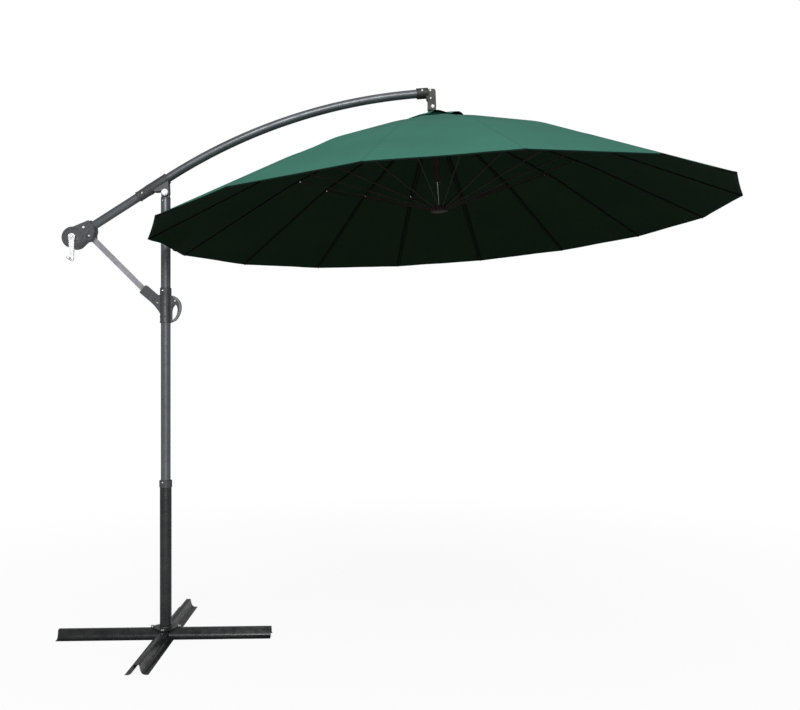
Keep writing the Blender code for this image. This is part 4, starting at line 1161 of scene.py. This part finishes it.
def cap_stretch(name, middle, radii):
    """One stretch of a cap piece, its middle at an angle round the canopy's axis."""
    shares = [i / 8 for i in range(-8, 9)]
    step = 0.002
    rows, normals, across, along = [], [], [], []
    for radius in radii:
        row = []
        for share in shares:
            angle = middle + share * PANEL / 2
            row.append(CANOPY @ cap_point(angle, radius))
            outward = cap_point(angle, radius + step) - cap_point(angle, radius - step)
            around = cap_point(angle + step / radius, radius) - cap_point(angle - step / radius, radius)
            normals.append(CANOPY_TURN @ outward.cross(around).normalized())
            across.append(share * radius * PANEL / 2)
            along.append(radius)
        rows.append(row)
    return thin_sheet(name, rows, normals, across, along)


TIP_R = 0.0040
# Radii along a rib and the tip cap's thickness there, as a share of TIP_R
TIP_ENDS = ((1.300, 0.8), (1.304, 1.0), (1.330, 1.0), (1.355, 1.0), (1.361, 0.8), (1.3635, 0.4))
TIE_RADII = (0.86, 1.08)


def make_rib_fittings(k):
    """Tip cap in the hem's pocket and the ties that hold the cloth's seam to the rib."""
    a = FIRST_RIB + k * PANEL
    out = Vector((math.cos(a), math.sin(a), 0.0))

    def on_rib(r):
        return CANOPY @ (out * r + Vector((0.0, 0.0, cloth_height(r) - RIB_DROP)))

    ends = [on_rib(r) for r, _ in TIP_ENDS]
    tip = tube(f"rib_tip_{k + 1:02d}", ends, TIP_R, 16, [wide for _, wide in TIP_ENDS])
    adopt(tip, f"rib_{k + 1:02d}", "rib_fibre")
    for number, radius in enumerate(TIE_RADII):
        turn = [2 * math.pi * i / 20 for i in range(21)]
        middle = on_rib(radius)
        loop = [
            middle + tangent(k) * 0.0038 * math.cos(b) + CANOPY_UP * (0.0042 * math.sin(b) + 0.0006)
            for b in turn
        ]
        tie = tube(f"rib_tie_{k + 1:02d}_{number + 1}", loop, 0.0009, 8)
        adopt(tie, f"rib_{k + 1:02d}", "rib_fibre")
    drop = CANOPY_TURN @ Vector((0.0, 0.0, RIVET_DROP))
    place = on_rib(RIVET_R) + tangent(k) * RIVET_SIDE - drop
    screw(f"stay_rivet_{k + 1:02d}", place, tangent(k), 0.0042, f"stay_{k + 1:02d}", "crank_grey")


def make_crown():
    refined("crown_hub", 0.0005)
    refined("runner_hub", 0.0008)
    collar = [
        (0.0225, 0.5595), (0.0270, 0.5570), (0.0370, 0.5505), (0.0520, 0.5440), (0.0690, 0.5392),
        (0.0700, 0.5380), (0.0700, 0.5240), (0.0688, 0.5240), (0.0688, 0.5376), (0.0520, 0.5426),
        (0.0370, 0.5490), (0.0270, 0.5552), (0.0225, 0.5575),
    ]
    adopt(hoop("crown_patch", collar, 96, CANOPY), "crown", CLOTH_TOP)
    patch = bpy.data.objects["crown_patch"].data
    far = [0.05] * len(patch.vertices)  # from any seam
    keep_distances(patch, far, far)
    low = [(0.0, 0.072), (0.010, 0.0725), (0.020, 0.0745), (0.0285, 0.0775), (0.0, 0.0775)]
    adopt(lathe("runner_finial", low, 48, CANOPY), "runner", "hub_plastic")


def make_ribs():
    for k in range(RIBS):
        refined(f"rib_{k + 1:02d}", 0.0, 60.0)
        refined(f"stay_{k + 1:02d}", 0.0, 30.0)


# ---- cord


CORD_R = 0.0015
CORD_CUT_X = HANGER.x - 0.06  # the cord below the crown lies past this and under the route's start


def make_cord():
    """The lifting cord in two pieces: in the arm, and from the crown down to the runner."""
    route = (
        (-0.0105, 0.5920), (-0.0105, 0.5770), (-0.0085, 0.5650), (-0.0015, 0.5120), (0.0, 0.4950),
        (0.0, 0.300), (0.0, 0.0870),
    )
    drop = [CANOPY @ Vector((x, 0.0, z)) for x, z in route]
    lower = tube("cord_drop", smooth_line(drop, 24), CORD_R, 10)
    show(lower)
    lower.data.materials.append(CORD_LOOK)
    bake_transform(lower)
    shape = bmesh.new()
    shape.from_mesh(NODES["pull_cord"].data)
    bmesh.ops.remove_doubles(shape, verts=shape.verts, dist=2e-5)
    below = [v for v in shape.verts if v.co.z < drop[0].z and v.co.x > CORD_CUT_X]
    bmesh.ops.delete(shape, geom=below, context="VERTS")
    bmesh.ops.holes_fill(shape, edges=[e for e in shape.edges if e.is_boundary], sides=0)
    upper = from_shape("cord_in_arm", shape, 80.0)
    adopt(upper, "arm", CORD_LOOK, ["pull_cord"])


def main():
    make_camera()
    make_floor()
    make_light()
    make_stand()
    make_slider()
    make_arm()
    make_crank()
    make_ribs()
    make_crown()
    for k in range(RIBS):
        make_gore(k)
    make_cord()


main()
